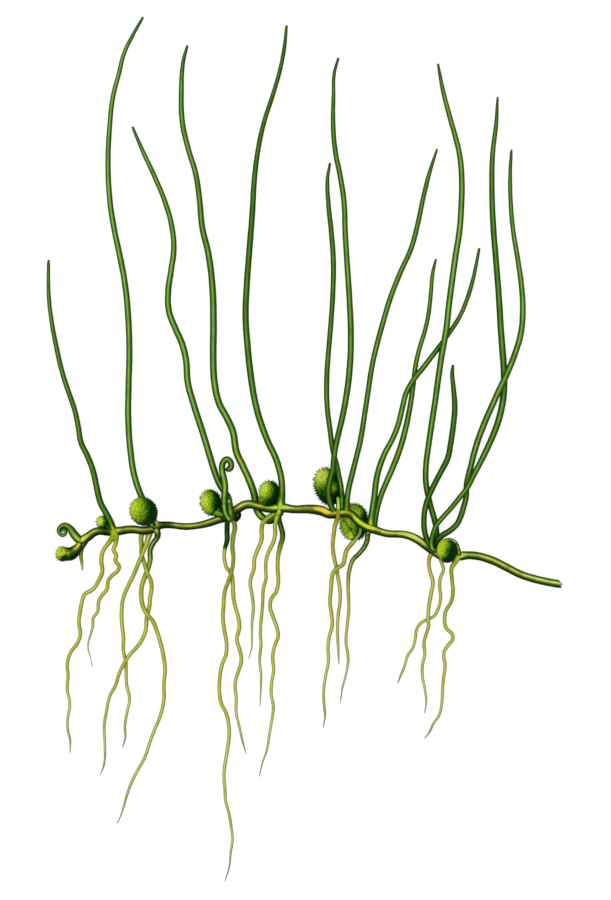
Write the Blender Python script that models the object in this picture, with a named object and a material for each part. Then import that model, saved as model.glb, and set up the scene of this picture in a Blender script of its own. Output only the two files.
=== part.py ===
"""A pillwort dug up whole and laid flat, its leaves towards +Y and its roots towards -Y."""

import math

import bpy
import numpy as np

MM = 0.001

LEAF_COLOUR = (0.10, 0.27, 0.03, 1)
YOUNG_LEAF_COLOUR = (0.14, 0.33, 0.04, 1)
RHIZOME_COLOUR = (0.33, 0.34, 0.06, 1)
PILL_COLOUR = (0.15, 0.33, 0.03, 1)
ROOT_COLOUR = (0.36, 0.35, 0.10, 1)
ROUGHNESS = 0.55

# Shares of a piece's length, each with its share of the full thickness
LEAF_TAPER = [(0, 0.85), (0.3, 1), (0.5, 0.95), (0.8, 0.7), (0.95, 0.45), (1, 0.2)]
ROOT_TAPER = [(0, 1), (0.85, 0.95), (0.95, 0.55), (1, 0.3)]
TIP_CROZIER_TAPER = [(0, 1), (0.3, 0.82), (0.6, 0.55), (0.9, 0.42), (1, 0.36)]
MIDDLE_CROZIER_TAPER = [(0, 1), (0.45, 0.95), (0.8, 0.75), (1, 0.55)]
RHIZOME_TAPER = [
    (0, 0.7), (0.03, 0.9), (0.26, 0.9), (0.29, 1.1), (0.32, 1.2), (0.35, 1), (0.6, 1), (0.63, 1.1),
    (0.66, 1), (1, 1),
]

LEAF_SPACING = 4 * MM
ROOT_SPACING = 4 * MM
CROZIER_SPACING = 0.5 * MM
RHIZOME_SPACING = 1.8 * MM

# Roundness as Blender's bevel takes it, which makes six sides of the first and eight of the second
THIN_TUBE = 1
THICK_TUBE = 2
PILL_RINGS = 8
POLE_ANGLE = math.radians(15)

ROOT_RADIUS = 0.22
RHIZOME_RADIUS = 0.46

# The routes are in millimetres, x to the right, y towards the leaf tips and z up from the surface
RHIZOME = [
    (-26.85, -11.1, 0.75), (-25.9, -10.55, 0.72), (-24.9, -9.97, 0.75), (-23.6, -10, 0.85),
    (-22.2, -9.8, 1), (-20.8, -9.66, 1), (-19.2, -9.8, 1.05), (-17.8, -9.35, 1.15),
    (-16.3, -9.1, 1.2), (-14.2, -9.3, 1.25), (-12.2, -9.03, 1.35), (-10.4, -8.45, 1.5),
    (-9.2, -8, 1.55), (-8.2, -7.3, 1.6), (-6.9, -6.68, 1.65), (-5.4, -6.92, 1.65),
    (-4.2, -7.14, 1.72), (-2.9, -7.02, 1.9), (-1.2, -7.25, 2.35), (0.6, -7.12, 3.05),
    (1.9, -7.42, 3.5), (3, -7.82, 3.8), (4.3, -7.62, 3.98), (5.4, -7.75, 4.12),
    (6.2, -8.5, 4.12), (7.1, -9.15, 3.75), (8.3, -9.62, 3.1), (9.8, -10.08, 2.45),
    (11.8, -10.2, 1.8), (13.2, -10.72, 1.45), (14.4, -11.6, 1.15), (15.6, -12.55, 0.7),
    (16.9, -13.02, 0.5), (18.4, -12.78, 0.5), (20, -12.7, 0.5), (22, -13.2, 0.5),
    (24, -14.13, 0.5), (26, -15.05, 0.5), (28.2, -15.7, 0.5), (30.85, -16.28, 0.5),
]

# Each leaf has its radius and its route from the rhizome to its tip
LEAVES = {
    "leaf_1": (0.27, [
        (-23, -9.35, 1.1), (-23.4, -8.7, 1.25), (-24, -7.7, 1.2), (-24.65, -6.5, 1),
        (-25.05, -4.6, 0.75), (-25.4, -2.6, 0.55), (-26.1, -0.8, 0.45), (-26.85, 0.8, 0.4),
        (-27.2, 2.8, 0.4), (-27.65, 4.8, 0.4), (-28.4, 7, 0.42), (-29.15, 9.4, 0.45),
        (-29.85, 12.5, 0.45), (-30.4, 15.5, 0.45), (-30.72, 18.5, 0.42), (-30.75, 22.7, 0.36),
    ]),
    "leaf_2": (0.36, [
        (-18.25, -8.65, 0.65), (-18.8, -7.5, 0.42), (-19.35, -6.3, 0.38), (-19.85, -5.1, 0.42),
        (-20.45, -3.2, 0.45), (-20.9, -0.4, 0.45), (-21.18, 3.5, 0.42), (-21.15, 7.5, 0.42),
        (-21.05, 11.5, 0.45), (-21.2, 16, 0.5), (-21.6, 20, 0.55), (-22.2, 23.2, 0.6),
        (-22.85, 26.3, 0.6), (-23.4, 30, 0.55), (-23.6, 34.5, 0.5), (-23.4, 38.8, 0.45),
        (-23, 42.3, 0.45), (-22.3, 45, 0.42), (-21.7, 47.4, 0.4), (-20.7, 49.5, 0.38),
        (-19.4, 51.8, 0.34),
    ]),
    "leaf_3": (0.34, [
        (-8.8, -8.15, 2.6), (-8.85, -7.3, 2.5), (-8.95, -6.5, 1.75), (-9.2, -5.75, 1),
        (-9.75, -5, 0.55), (-10.4, -4, 0.45), (-11.1, -2.3, 0.42), (-11.65, -0.5, 0.42),
        (-12.3, 2.1, 0.42), (-13.3, 5.2, 0.42), (-14.05, 8, 0.42), (-14.25, 10.6, 0.45),
        (-14.7, 12.5, 0.45), (-15.6, 14.6, 0.45), (-16.3, 16.5, 0.45), (-16.4, 18.8, 0.45),
        (-16.05, 21.4, 0.45), (-15.72, 24, 0.48), (-15.95, 26.6, 0.5), (-16.7, 29.4, 0.5),
        (-18, 32.6, 0.48), (-19.4, 35.6, 0.42), (-20.7, 38.65, 0.34),
    ]),
    "leaf_4": (0.37, [
        (-3.5, -8.05, 0.6), (-4.3, -8.55, 0.5), (-5.15, -8.4, 0.42), (-5.75, -7.6, 0.4),
        (-6.02, -6.6, 0.4), (-6.2, -5.4, 0.42), (-6.8, -3.7, 0.45), (-7.6, -2.1, 0.45),
        (-8.2, -0.4, 0.42), (-8.65, 2.1, 0.4), (-9.4, 3.8, 0.4), (-10.3, 5.5, 0.42),
        (-10.85, 8, 0.45), (-11, 11, 0.45), (-10.97, 15, 0.45), (-11.1, 19.5, 0.5),
        (-11.6, 23.5, 0.55), (-12.3, 26.5, 0.6), (-12.65, 30, 0.6), (-13.1, 33, 0.55),
        (-14, 36, 0.5), (-14.7, 39.2, 0.45), (-14.82, 43, 0.42), (-14.6, 46.4, 0.38),
        (-14.1, 48.4, 0.34),
    ]),
    "leaf_5": (0.36, [
        (-2.83, -6.42, 1.9), (-2.7, -5.2, 1.75), (-2.85, -3.6, 1.45), (-3.4, -1.3, 1.05),
        (-4.4, 0.8, 0.75), (-5.25, 3, 0.55), (-5.95, 5.5, 0.45), (-6.5, 8.8, 0.42),
        (-6.9, 12.5, 0.42), (-7.12, 16, 0.42), (-6.95, 20, 0.45), (-6.65, 24, 0.5),
        (-6.3, 28.5, 0.55), (-6.05, 32.5, 0.55), (-5.6, 36, 0.5), (-4.9, 39.2, 0.48),
        (-3.9, 42.3, 0.45), (-3, 45.4, 0.42), (-2.45, 48.3, 0.38), (-2.2, 50.8, 0.34),
    ]),
    "leaf_6": (0.31, [
        (3.93, -7.12, 3.75), (4.2, -6.1, 3.5), (4.35, -4.9, 3.1), (4.15, -3.4, 2.9),
        (3.85, -1.9, 2.65), (3.45, -0.3, 2.35), (3, 2.2, 1.9), (2.65, 5.2, 1.35),
        (2.6, 8.2, 0.9), (2.8, 11.5, 0.6), (3.1, 15, 0.48), (3.35, 19, 0.45),
        (3.4, 22.5, 0.45), (3.15, 26, 0.45), (2.8, 29.5, 0.42), (2.7, 32.4, 0.4),
        (3, 34.3, 0.34),
    ]),
    "leaf_7": (0.33, [
        (3.28, -7.17, 3.88), (2.95, -6.3, 3.9), (2.78, -5, 3.92), (2.95, -3.8, 3.9),
        (3.3, -2.3, 3.6), (3.5, -0.8, 3.2), (3.8, 1, 2.75), (4.4, 3.5, 2.1),
        (4.95, 6.4, 1.45), (5.35, 9.6, 0.9), (5.5, 13.4, 0.55), (5.35, 17.6, 0.45),
        (5.05, 22.2, 0.45), (4.82, 26, 0.5), (4.68, 29.6, 0.5), (4.2, 32.8, 0.5),
        (3.65, 35.6, 0.5), (3.38, 38.6, 0.48), (3.42, 42.5, 0.45), (3.5, 45, 0.4),
        (4, 46.9, 0.34),
    ]),
    "leaf_8": (0.3, [
        (4.95, -7.1, 4), (5, -6, 3.85), (5.2, -4.7, 3.6), (5.6, -3.05, 3.1),
        (6.1, -1.1, 2.5), (6.65, 1.2, 1.9), (7.1, 3.9, 1.3), (7.55, 6.8, 0.85),
        (8.05, 10, 0.55), (8.6, 12.4, 0.45), (9.3, 15, 0.45), (10.2, 18, 0.48),
        (11.4, 21.1, 0.5), (12.7, 24, 0.5), (13.5, 26.9, 0.48), (14.15, 30, 0.45),
        (14.95, 33.2, 0.4), (15.85, 36, 0.34),
    ]),
    "leaf_9": (0.31, [
        (8.32, -8.95, 2.8), (8.54, -7.45, 2.75), (9, -5.75, 2.5), (9.7, -4, 2.1),
        (10.5, -2.2, 1.7), (11.35, 0, 1.3), (12.1, 2.7, 1), (12.65, 5.5, 0.85),
        (13, 8, 0.8), (13.25, 10, 0.8), (13.7, 12, 0.75), (14.4, 14.3, 0.6),
        (14.85, 16.5, 0.5), (15.1, 18.8, 0.45), (15.3, 21, 0.4), (15.7, 22.8, 0.35),
    ]),
    "leaf_10": (0.3, [
        (7.78, -8.87, 3.45), (8, -7.45, 3.35), (8.27, -5.6, 3), (8.5, -3.77, 2.5),
        (8.85, -2.3, 2.1), (9.5, -0.6, 1.75), (10.45, 1.2, 1.6), (11.1, 2.8, 1.6),
        (11.65, 5, 1.7), (12.1, 6.7, 1.75), (13, 8.3, 1.6), (14.2, 9.8, 1.25),
        (15.2, 11.1, 0.85), (16.2, 12.4, 0.5), (17.2, 13.8, 0.42), (18.5, 15.8, 0.5),
        (19.4, 17.9, 0.6), (20.1, 20.2, 0.6), (20.5, 22, 0.5), (20.9, 24.1, 0.38),
    ]),
    "leaf_11": (0.33, [
        (15.42, -11.62, 0.75), (15.72, -10.6, 0.7), (15.73, -9.6, 0.6), (15.5, -8.4, 0.5),
        (15.1, -7, 0.45), (14.77, -5.6, 0.42), (14.5, -4.1, 0.42), (14.5, -2, 0.42),
        (14.75, 0, 0.45), (15.15, 2.8, 0.6), (15.6, 5.8, 0.8), (16, 8.8, 1),
        (16.4, 11.5, 1.2), (16.9, 14.3, 1.2), (17.2, 17, 1), (17.6, 20, 0.8),
        (18.05, 23.2, 0.6), (18.5, 26, 0.5), (18.75, 29.5, 0.5), (18.78, 32.5, 0.55),
        (18.5, 35.4, 0.55), (18, 37.5, 0.5), (17.3, 40, 0.45), (16.6, 42.7, 0.4),
        (16.15, 45, 0.36), (15.95, 46.2, 0.33),
    ]),
    "leaf_12": (0.31, [
        (14.66, -10.88, 1.2), (14.32, -9.9, 1.3), (14.23, -8.5, 1.3), (14.4, -7, 1.25),
        (14.85, -5.6, 1.2), (15.5, -4.2, 1.05), (16.4, -2.5, 0.85), (17.1, -1.1, 0.65),
        (17.45, 0.6, 0.5), (17.75, 2.6, 0.45), (17.95, 5, 0.45), (17.8, 7.3, 0.45),
        (17.65, 9, 0.42), (17.75, 10.1, 0.38),
    ]),
    "leaf_13": (0.34, [
        (15.45, -12, 1.85), (15.15, -11.5, 1.9), (15.15, -10.9, 1.9), (15.35, -10, 1.7),
        (15.7, -9.15, 1.5), (16.4, -8.25, 1.4), (17.45, -7.1, 1.35), (18.5, -5.8, 1.35),
        (19.4, -4.65, 1.3), (20.2, -3.1, 1.15), (21.3, -1, 0.9), (22.25, 1, 0.7),
        (23.15, 3.3, 0.5), (23.75, 6, 0.42), (23.87, 8.5, 0.4), (23.7, 11.5, 0.42),
        (23.5, 14, 0.45), (23.25, 18, 0.5), (22.9, 22.5, 0.5), (22.55, 27, 0.5),
        (22.4, 31.5, 0.5), (22.5, 35.5, 0.48), (22.9, 38.8, 0.42), (23.1, 42.2, 0.35),
    ]),
    "leaf_14": (0.32, [
        (15.9, -10.85, 1.45), (16.4, -10.35, 1.3), (17.3, -9.8, 1.05), (18.15, -9.05, 0.85),
        (18.65, -8.1, 0.65), (19, -7, 0.5), (19.3, -5.8, 0.42), (19.35, -4.7, 0.42),
        (19.5, -3.6, 0.42), (19.85, -2.2, 0.45), (20.4, 0, 0.5), (21.3, 2.6, 0.65),
        (22.4, 5.2, 0.95), (23.4, 7.4, 1.15), (24.3, 9.3, 1.15), (25.2, 11.6, 0.95),
        (25.85, 13.8, 0.7), (26.1, 16.5, 0.5), (25.95, 19.5, 0.45), (25.5, 22.8, 0.45),
        (24.95, 26.2, 0.45), (24.65, 29.8, 0.45), (24.6, 33, 0.42), (24.75, 35.9, 0.35),
    ]),
}

# The young leaves still coiled like a watch spring, from the rhizome to the tip inside the coil
TIP_CROZIER = [
    (-27.45, -10.5, 0.75), (-27.85, -10.1, 0.65), (-28.15, -9.6, 0.5), (-28.5, -9.25, 0.42),
    (-28.95, -9.15, 0.36), (-29.35, -9.4, 0.34), (-29.5, -9.8, 0.34), (-29.35, -10.15, 0.34),
    (-29, -10.3, 0.34), (-28.7, -10.1, 0.34), (-28.68, -9.8, 0.34), (-28.9, -9.65, 0.34),
    (-29.05, -9.85, 0.34),
]
TIP_CROZIER_RADIUS = 0.36
MIDDLE_CROZIER = [
    (-9.65, -8.4, 2.6), (-9.74, -7.5, 2.5), (-9.75, -6.6, 2.15), (-9.65, -5.6, 1.75),
    (-9.55, -4.6, 1.5), (-9.65, -3.7, 1.4), (-9.9, -2.8, 1.3), (-10, -2.05, 1.25),
    (-9.8, -1.45, 1.2), (-9.4, -1.15, 1.2), (-8.98, -1.3, 1.15), (-8.82, -1.75, 1.1),
    (-8.88, -2.25, 1.05), (-9.2, -2.45, 1), (-9.45, -2.25, 0.95),
]
MIDDLE_CROZIER_RADIUS = 0.33

# Each pill has its centre, its radius, half of its length, the point that its axis runs to, and its
# stalk's radius. That point is the stalk's foot, or on a pill without a stalk the end of the pill.
PILLS = {
    "sporocarp_1": ((-29.05, -12.5, 0.95), 0.93, 0.95, (-27.1, -11.4, 0.8), 0.42),
    "sporocarp_2": ((-24.4, -8.85, 0.7), 0.66, 0.68, (-23.7, -9.35, 0.6), 0.2),
    "sporocarp_3": ((-19.4, -7.5, 2.3), 1.6, 1.68, (-18.25, -8.85, 1.65), 0.25),
    "sporocarp_4": ((-11.25, -6.42, 1.35), 1.33, 1.66, (-10.9, -8.05, 1.35), 0),
    "sporocarp_5": ((-4.35, -5.2, 1.25), 1.22, 1.38, (-4.15, -6.62, 1.4), 0.25),
    "sporocarp_6": ((2.5, -4, 1.74), 1.72, 2.05, (3.35, -7, 2), 0.5),
    "sporocarp_7": ((5.85, -8.73, 1.8), 1.78, 2.33, (5.6, -11.05, 1.8), 0),
    "sporocarp_8": ((17, -12.15, 2.1), 1.27, 1.47, (17, -13.62, 2.1), 0),
}

ROOTS = {
    "root_1": [
        (-26.85, -12, 0.5), (-26.88, -12.6, 0.38), (-26.78, -13.5, 0.26), (-26.7, -14.45, 0.18),
    ],
    "root_2": [
        (-23.2, -10.8, 0.6), (-23.75, -11.55, 0.4), (-24.25, -12.3, 0.28), (-24.42, -13.4, 0.24),
        (-24.3, -14.7, 0.24), (-24.75, -15.8, 0.24), (-25.5, -16.9, 0.24), (-26.4, -17.4, 0.24),
        (-26.75, -18.3, 0.24), (-26.95, -19.4, 0.24), (-27.12, -20.7, 0.24), (-26.95, -22.2, 0.24),
        (-27.3, -23.3, 0.24), (-28.1, -24.4, 0.24), (-28.5, -25.7, 0.24), (-28.42, -27.2, 0.24),
        (-28.52, -28.8, 0.24), (-28.22, -30.4, 0.24), (-28.48, -32.6, 0.24), (-28.45, -33.7, 0.24),
        (-28.15, -35, 0.22), (-28.2, -36.5, 0.18),
    ],
    "root_3": [
        (-22.65, -10.7, 0.7), (-22.72, -11.4, 0.45), (-22.95, -12.1, 0.28), (-22.65, -12.75, 0.24),
        (-22.72, -13.45, 0.24), (-22.3, -14.05, 0.24), (-22.5, -14.65, 0.24), (-23.15, -15.2, 0.24),
        (-23.6, -15.8, 0.24), (-23.75, -16.8, 0.24), (-24.3, -17.5, 0.24), (-24.72, -18.2, 0.24),
        (-24.88, -19.5, 0.24), (-25.4, -20.3, 0.24), (-25.45, -21.3, 0.24), (-25.8, -22.5, 0.22),
        (-26.03, -23.7, 0.2), (-25.75, -25, 0.16), (-25.47, -26.2, 0.12),
    ],
    "root_4": [
        (-19.6, -10.45, 0.6), (-19.6, -11.5, 0.35), (-19.5, -12.6, 0.24), (-19.25, -13.7, 0.5),
        (-18.9, -14.8, 0.78), (-18.5, -15.7, 0.55), (-18.38, -16.6, 0.28), (-18.55, -17.7, 0.24),
        (-18.68, -19, 0.24), (-19, -20.3, 0.24), (-19.08, -21.6, 0.24), (-19.5, -22.8, 0.3),
        (-20.2, -23.8, 0.5), (-21.1, -24.8, 0.7), (-21.8, -25.9, 0.6), (-22.3, -27, 0.35),
        (-22.75, -28.4, 0.24), (-23.4, -29.6, 0.24), (-23.8, -31.4, 0.24), (-24.08, -33.2, 0.24),
        (-24, -35.5, 0.24), (-24.1, -37.8, 0.22), (-24.6, -39.2, 0.16),
    ],
    "root_5": [
        (-18.57, -10.3, 0.72), (-19, -11.4, 0.78), (-19.5, -12.6, 0.85), (-20, -13.8, 0.68),
        (-20.55, -15.1, 0.35), (-21.2, -16.4, 0.24), (-21.8, -17.9, 0.24), (-22, -19.6, 0.24),
        (-21.95, -21, 0.24), (-21.78, -22.6, 0.24), (-21.78, -24.2, 0.24), (-21.5, -25.4, 0.24),
        (-21.45, -26.6, 0.24), (-21.4, -28.2, 0.24), (-21.05, -29.9, 0.24), (-21.35, -31.6, 0.24),
        (-21.6, -33.3, 0.22), (-21.55, -34.6, 0.2), (-21.9, -35.9, 0.14),
    ],
    "root_6": [
        (-17.6, -10.1, 0.75), (-17.6, -10.7, 0.5), (-18.2, -11.2, 0.35), (-18.58, -12, 0.26),
        (-18.55, -13.2, 0.24), (-18.8, -14.3, 0.24), (-19.2, -15.3, 0.24), (-19.6, -16.7, 0.24),
        (-19.6, -18.1, 0.3), (-19.3, -19.15, 0.55), (-18.8, -19.95, 0.72), (-18.2, -20.7, 0.5),
        (-17.85, -21.6, 0.28), (-17.4, -23, 0.24), (-17.02, -24.6, 0.24), (-16.78, -26.3, 0.24),
        (-16.92, -28.2, 0.24), (-16.92, -30, 0.24), (-17.35, -32, 0.24), (-18.1, -33.8, 0.24),
        (-18.65, -35.3, 0.24), (-19.2, -36.95, 0.24), (-20.05, -38.5, 0.24), (-20.9, -40.2, 0.24),
        (-21.5, -42, 0.24), (-21.95, -43.6, 0.22), (-22.5, -44.9, 0.16),
    ],
    "root_7": [
        (-9.3, -8.8, 1.15), (-9.35, -9.8, 0.5), (-9.38, -10.9, 0.28), (-9.75, -12, 0.24),
        (-9.67, -13.2, 0.24), (-9.4, -14.25, 0.24), (-8.85, -14.95, 0.24), (-8.66, -16, 0.24),
        (-8.6, -17.6, 0.24), (-8.37, -18.9, 0.24), (-7.95, -20.4, 0.24), (-7.88, -21.5, 0.24),
        (-8.17, -22.8, 0.24), (-7.8, -24.2, 0.24), (-7.63, -25.4, 0.24), (-8, -26.7, 0.24),
        (-8.38, -28.1, 0.24), (-8.25, -29.8, 0.24), (-8.25, -31.6, 0.24), (-7.85, -33.4, 0.24),
        (-7.5, -35, 0.2), (-7.07, -36.6, 0.14),
    ],
    "root_8": [
        (-8.55, -8.6, 1.15), (-8.4, -9.4, 0.6), (-8.6, -10.5, 0.3), (-8.7, -11.7, 0.26),
        (-8.58, -13.2, 0.4), (-8.8, -14.7, 0.7), (-9.2, -15.9, 0.6), (-9.62, -17.1, 0.28),
        (-9.76, -18.7, 0.24), (-9.83, -20.5, 0.24), (-9.6, -22.1, 0.24), (-9.4, -23.4, 0.24),
        (-9.5, -24.7, 0.24), (-9.95, -25.9, 0.24), (-10.2, -27.3, 0.24), (-10.26, -29.2, 0.24),
        (-10, -30.6, 0.24), (-9.45, -31.7, 0.24), (-9.15, -33.1, 0.24), (-9.1, -34.5, 0.24),
        (-9.3, -36, 0.24), (-9.6, -37.9, 0.24), (-9.72, -39.3, 0.24), (-9.6, -40.9, 0.24),
        (-9.5, -42.3, 0.24), (-9.1, -43.8, 0.24), (-8.83, -45.5, 0.24), (-8.7, -46.9, 0.24),
        (-8.9, -48.3, 0.22), (-9.1, -50.2, 0.2), (-9.6, -51.85, 0.14),
    ],
    "root_9": [
        (-3.9, -7.85, 1.42), (-4.5, -8.25, 1.3), (-5, -8.8, 1.1), (-5.2, -9.6, 0.65),
        (-5.2, -10.8, 0.3), (-5.6, -11.9, 0.24), (-6.05, -13.1, 0.24), (-6.15, -14.5, 0.24),
        (-6.5, -15.5, 0.24), (-6.55, -16.4, 0.24), (-6.33, -17.6, 0.24), (-6.2, -19.1, 0.24),
        (-6.35, -20.8, 0.24), (-6.36, -22.4, 0.22), (-6.42, -23.9, 0.18), (-6.75, -25.2, 0.12),
    ],
    "root_10": [
        (-3.3, -7.72, 1.4), (-3.42, -8.4, 1.15), (-3.6, -9.2, 0.75), (-3.58, -10, 0.4),
        (-3.75, -11, 0.26), (-4.25, -12.1, 0.24), (-4.62, -13.1, 0.24), (-4.72, -14.4, 0.24),
        (-4.68, -15.6, 0.24), (-4.98, -16.7, 0.24), (-5.08, -18.4, 0.24), (-5.2, -20, 0.24),
        (-5.35, -21.8, 0.24), (-5.28, -23.6, 0.24), (-5.45, -25.3, 0.24), (-5.28, -27, 0.22),
        (-5.3, -28.8, 0.2), (-5.4, -30.9, 0.15),
    ],
    "root_11": [
        (-2.95, -7.68, 1.05), (-3.02, -8.4, 0.62), (-2.85, -9.3, 0.4), (-2.67, -10.4, 0.28),
        (-2.95, -11.6, 0.24), (-3.22, -12.8, 0.24), (-3.28, -14.4, 0.24), (-3.2, -15.8, 0.24),
        (-3.45, -17.1, 0.24), (-4.05, -18, 0.24), (-4.17, -19, 0.24), (-3.8, -20.2, 0.24),
        (-3.35, -21.5, 0.24), (-3.22, -22.5, 0.24), (-3.6, -23.5, 0.24), (-3.88, -24.9, 0.24),
        (-3.75, -26.5, 0.24), (-4, -28, 0.24), (-4.05, -29.4, 0.24), (-3.8, -30.9, 0.24),
        (-4, -32.6, 0.24), (-4.3, -34.4, 0.24), (-4.6, -36.2, 0.22), (-5.1, -37.6, 0.18),
        (-5.47, -39.3, 0.13),
    ],
    "root_12": [
        (3.8, -8.35, 3.45), (3.63, -9.1, 2.9), (3.47, -9.9, 2.2), (3.35, -10.9, 1.3),
        (3.34, -12, 0.55), (3.5, -13.1, 0.28), (3.78, -14.3, 0.24), (3.92, -15.2, 0.24),
        (4.2, -16.9, 0.24), (4.2, -18.4, 0.24), (3.97, -20, 0.24), (3.9, -21.6, 0.24),
        (3.97, -23.6, 0.24), (4.08, -25.9, 0.2),
    ],
    "root_13": [
        (6.6, -9.65, 3.6), (6.45, -10.2, 3.35), (6.1, -10.65, 3.1), (5.75, -11.1, 2.6),
        (5.35, -11.6, 1.8), (4.95, -12.2, 1.1), (4.75, -13.1, 0.8), (4.55, -13.8, 0.75),
        (4, -14.2, 0.75), (3.45, -14.7, 0.72), (3.2, -15.6, 0.4), (3.12, -16.7, 0.25),
        (3, -18.4, 0.24), (3.2, -20, 0.24), (3.28, -21, 0.24), (2.9, -22.6, 0.24),
        (2.75, -24, 0.24), (2.82, -25.3, 0.24), (2.5, -27.1, 0.24), (2.25, -28.9, 0.24),
        (2.28, -30.6, 0.24), (2.4, -32, 0.24), (2.18, -33.4, 0.18),
    ],
    "root_14": [
        (7.45, -10, 2.9), (7.42, -10.8, 2.2), (7.1, -11.7, 1.4), (6.5, -12.5, 0.8),
        (5.75, -13.3, 0.4), (5.35, -14.4, 0.26), (5.18, -16, 0.24), (5.22, -17.8, 0.24),
        (5.25, -19.3, 0.24), (5.05, -21.2, 0.24), (4.92, -23.2, 0.24), (5.18, -25.2, 0.24),
        (4.95, -26.9, 0.24), (4.5, -28.6, 0.22), (4.22, -30.5, 0.18),
    ],
    "root_15": [
        (14.9, -13.05, 0.4), (14.85, -13.9, 0.28), (15.05, -14.9, 0.24), (15.33, -15.9, 0.24),
        (15.2, -17, 0.24), (14.95, -18.2, 0.35), (14.78, -19.4, 0.65), (14.75, -20.4, 0.72),
        (14.8, -21.3, 0.5), (14.5, -22.3, 0.28), (14.27, -23.3, 0.24), (14.36, -24.6, 0.24),
        (14.08, -26, 0.24), (14.1, -27.4, 0.24), (14.38, -28.8, 0.22), (14.53, -30.5, 0.18),
        (14.33, -31.7, 0.13),
    ],
    "root_16": [
        (16.42, -13.75, 0.3), (16.6, -14.5, 0.24), (16.25, -15.4, 0.24), (16.15, -16.5, 0.24),
        (16.27, -17.8, 0.24), (16, -19.1, 0.24), (15.5, -20, 0.24), (14.75, -20.42, 0.24),
        (14, -20.8, 0.24), (13.4, -21.6, 0.24), (13.22, -22.8, 0.24), (12.9, -23.9, 0.24),
        (12.3, -24.8, 0.24), (11.95, -26, 0.24), (11.5, -27.1, 0.2), (11.08, -28.2, 0.14),
    ],
    "root_17": [
        (17.95, -13.65, 0.4), (17.68, -14.3, 0.28), (17.62, -15.5, 0.24), (17.75, -17.2, 0.24),
        (17.5, -18.4, 0.24), (16.95, -19.3, 0.24), (16.74, -20.3, 0.24), (16.95, -21.5, 0.24),
        (17.65, -22.2, 0.24), (17.72, -22.8, 0.24), (17.1, -23.6, 0.24), (16.65, -24.5, 0.24),
        (16.8, -26, 0.24), (16.6, -27.6, 0.24), (16.48, -29.2, 0.24), (16.38, -30.7, 0.24),
        (16.1, -31.9, 0.24), (15.4, -32.95, 0.22), (14.9, -34, 0.18), (14.3, -34.75, 0.13),
    ],
}


def smooth_route(route, spacing):
    """Points on a smooth curve through the route's own points, with all of those kept."""
    places = np.array(route) * MM
    lengths = np.linalg.norm(np.diff(places, axis=0), axis=1)
    headings = np.diff(places, axis=0) / lengths[:, None]
    turns = headings[:-1] * lengths[1:, None] + headings[1:] * lengths[:-1, None]
    turns /= (lengths[:-1] + lengths[1:])[:, None]
    slopes = np.vstack([headings[0], turns, headings[-1]])
    points = []
    for i, length in enumerate(lengths):
        steps = max(1, round(length / spacing))
        for t in np.arange(steps) / steps:
            points.append(
                (2 * t**3 - 3 * t**2 + 1) * places[i]
                + (t**3 - 2 * t**2 + t) * length * slopes[i]
                + (3 * t**2 - 2 * t**3) * places[i + 1]
                + (t**3 - t**2) * length * slopes[i + 1]
            )
    points.append(places[-1])
    return np.array(points)


def add_solid(name, points, widths, roundness, colour):
    """One closed solid with round sections, each as wide as given, about the points."""
    curve = bpy.data.curves.new(name, "CURVE")
    curve.dimensions = "3D"
    curve.bevel_depth = 1
    curve.bevel_resolution = roundness
    curve.use_fill_caps = True
    spline = curve.splines.new("POLY")
    spline.points.add(len(points) - 1)
    for place, point, width in zip(spline.points, points, widths):
        place.co = (*point, 1)
        place.radius = width
    made = bpy.data.objects.new(name, curve)
    bpy.context.collection.objects.link(made)
    for other in bpy.context.selected_objects:
        other.select_set(False)
    made.select_set(True)
    bpy.context.view_layer.objects.active = made
    bpy.ops.object.convert(target="MESH")
    material = bpy.data.materials.new(name)
    material.use_nodes = True
    shader = material.node_tree.nodes["Principled BSDF"]
    shader.inputs["Base Color"].default_value = colour
    shader.inputs["Roughness"].default_value = ROUGHNESS
    made.data.materials.append(material)


def add_tube(name, route, radius, taper, spacing, roundness, colour):
    """A bent tube along the route. It is lifted where it would dip below the surface."""
    points = smooth_route(route, spacing)
    along = np.append(0, np.cumsum(np.linalg.norm(np.diff(points, axis=0), axis=1)))
    widths = radius * MM * np.interp(along / along[-1], *zip(*taper))
    points[:, 2] = np.maximum(points[:, 2], widths)
    add_solid(name, points, widths, roundness, colour)


def add_pill(name, centre, radius, half_length, end, stalk_radius, colour):
    """A pill turned about its axis, with its stalk if it has one."""
    centre = np.array(centre)
    axis = np.array(end) - centre
    reach = np.linalg.norm(axis)
    axis /= reach
    stalk_angle = max(math.asin(stalk_radius / radius), POLE_ANGLE)
    angles = np.linspace(POLE_ANGLE, math.pi - stalk_angle, PILL_RINGS)
    along = -half_length * np.cos(angles)
    widths = radius * np.sin(angles)
    if stalk_radius:
        along = np.append(along, reach)
        widths = np.append(widths, stalk_radius)
    points = centre + along[:, None] * axis
    add_solid(name, points * MM, widths * MM, THICK_TUBE, colour)


for leftover in list(bpy.data.objects):
    bpy.data.objects.remove(leftover)

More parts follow.
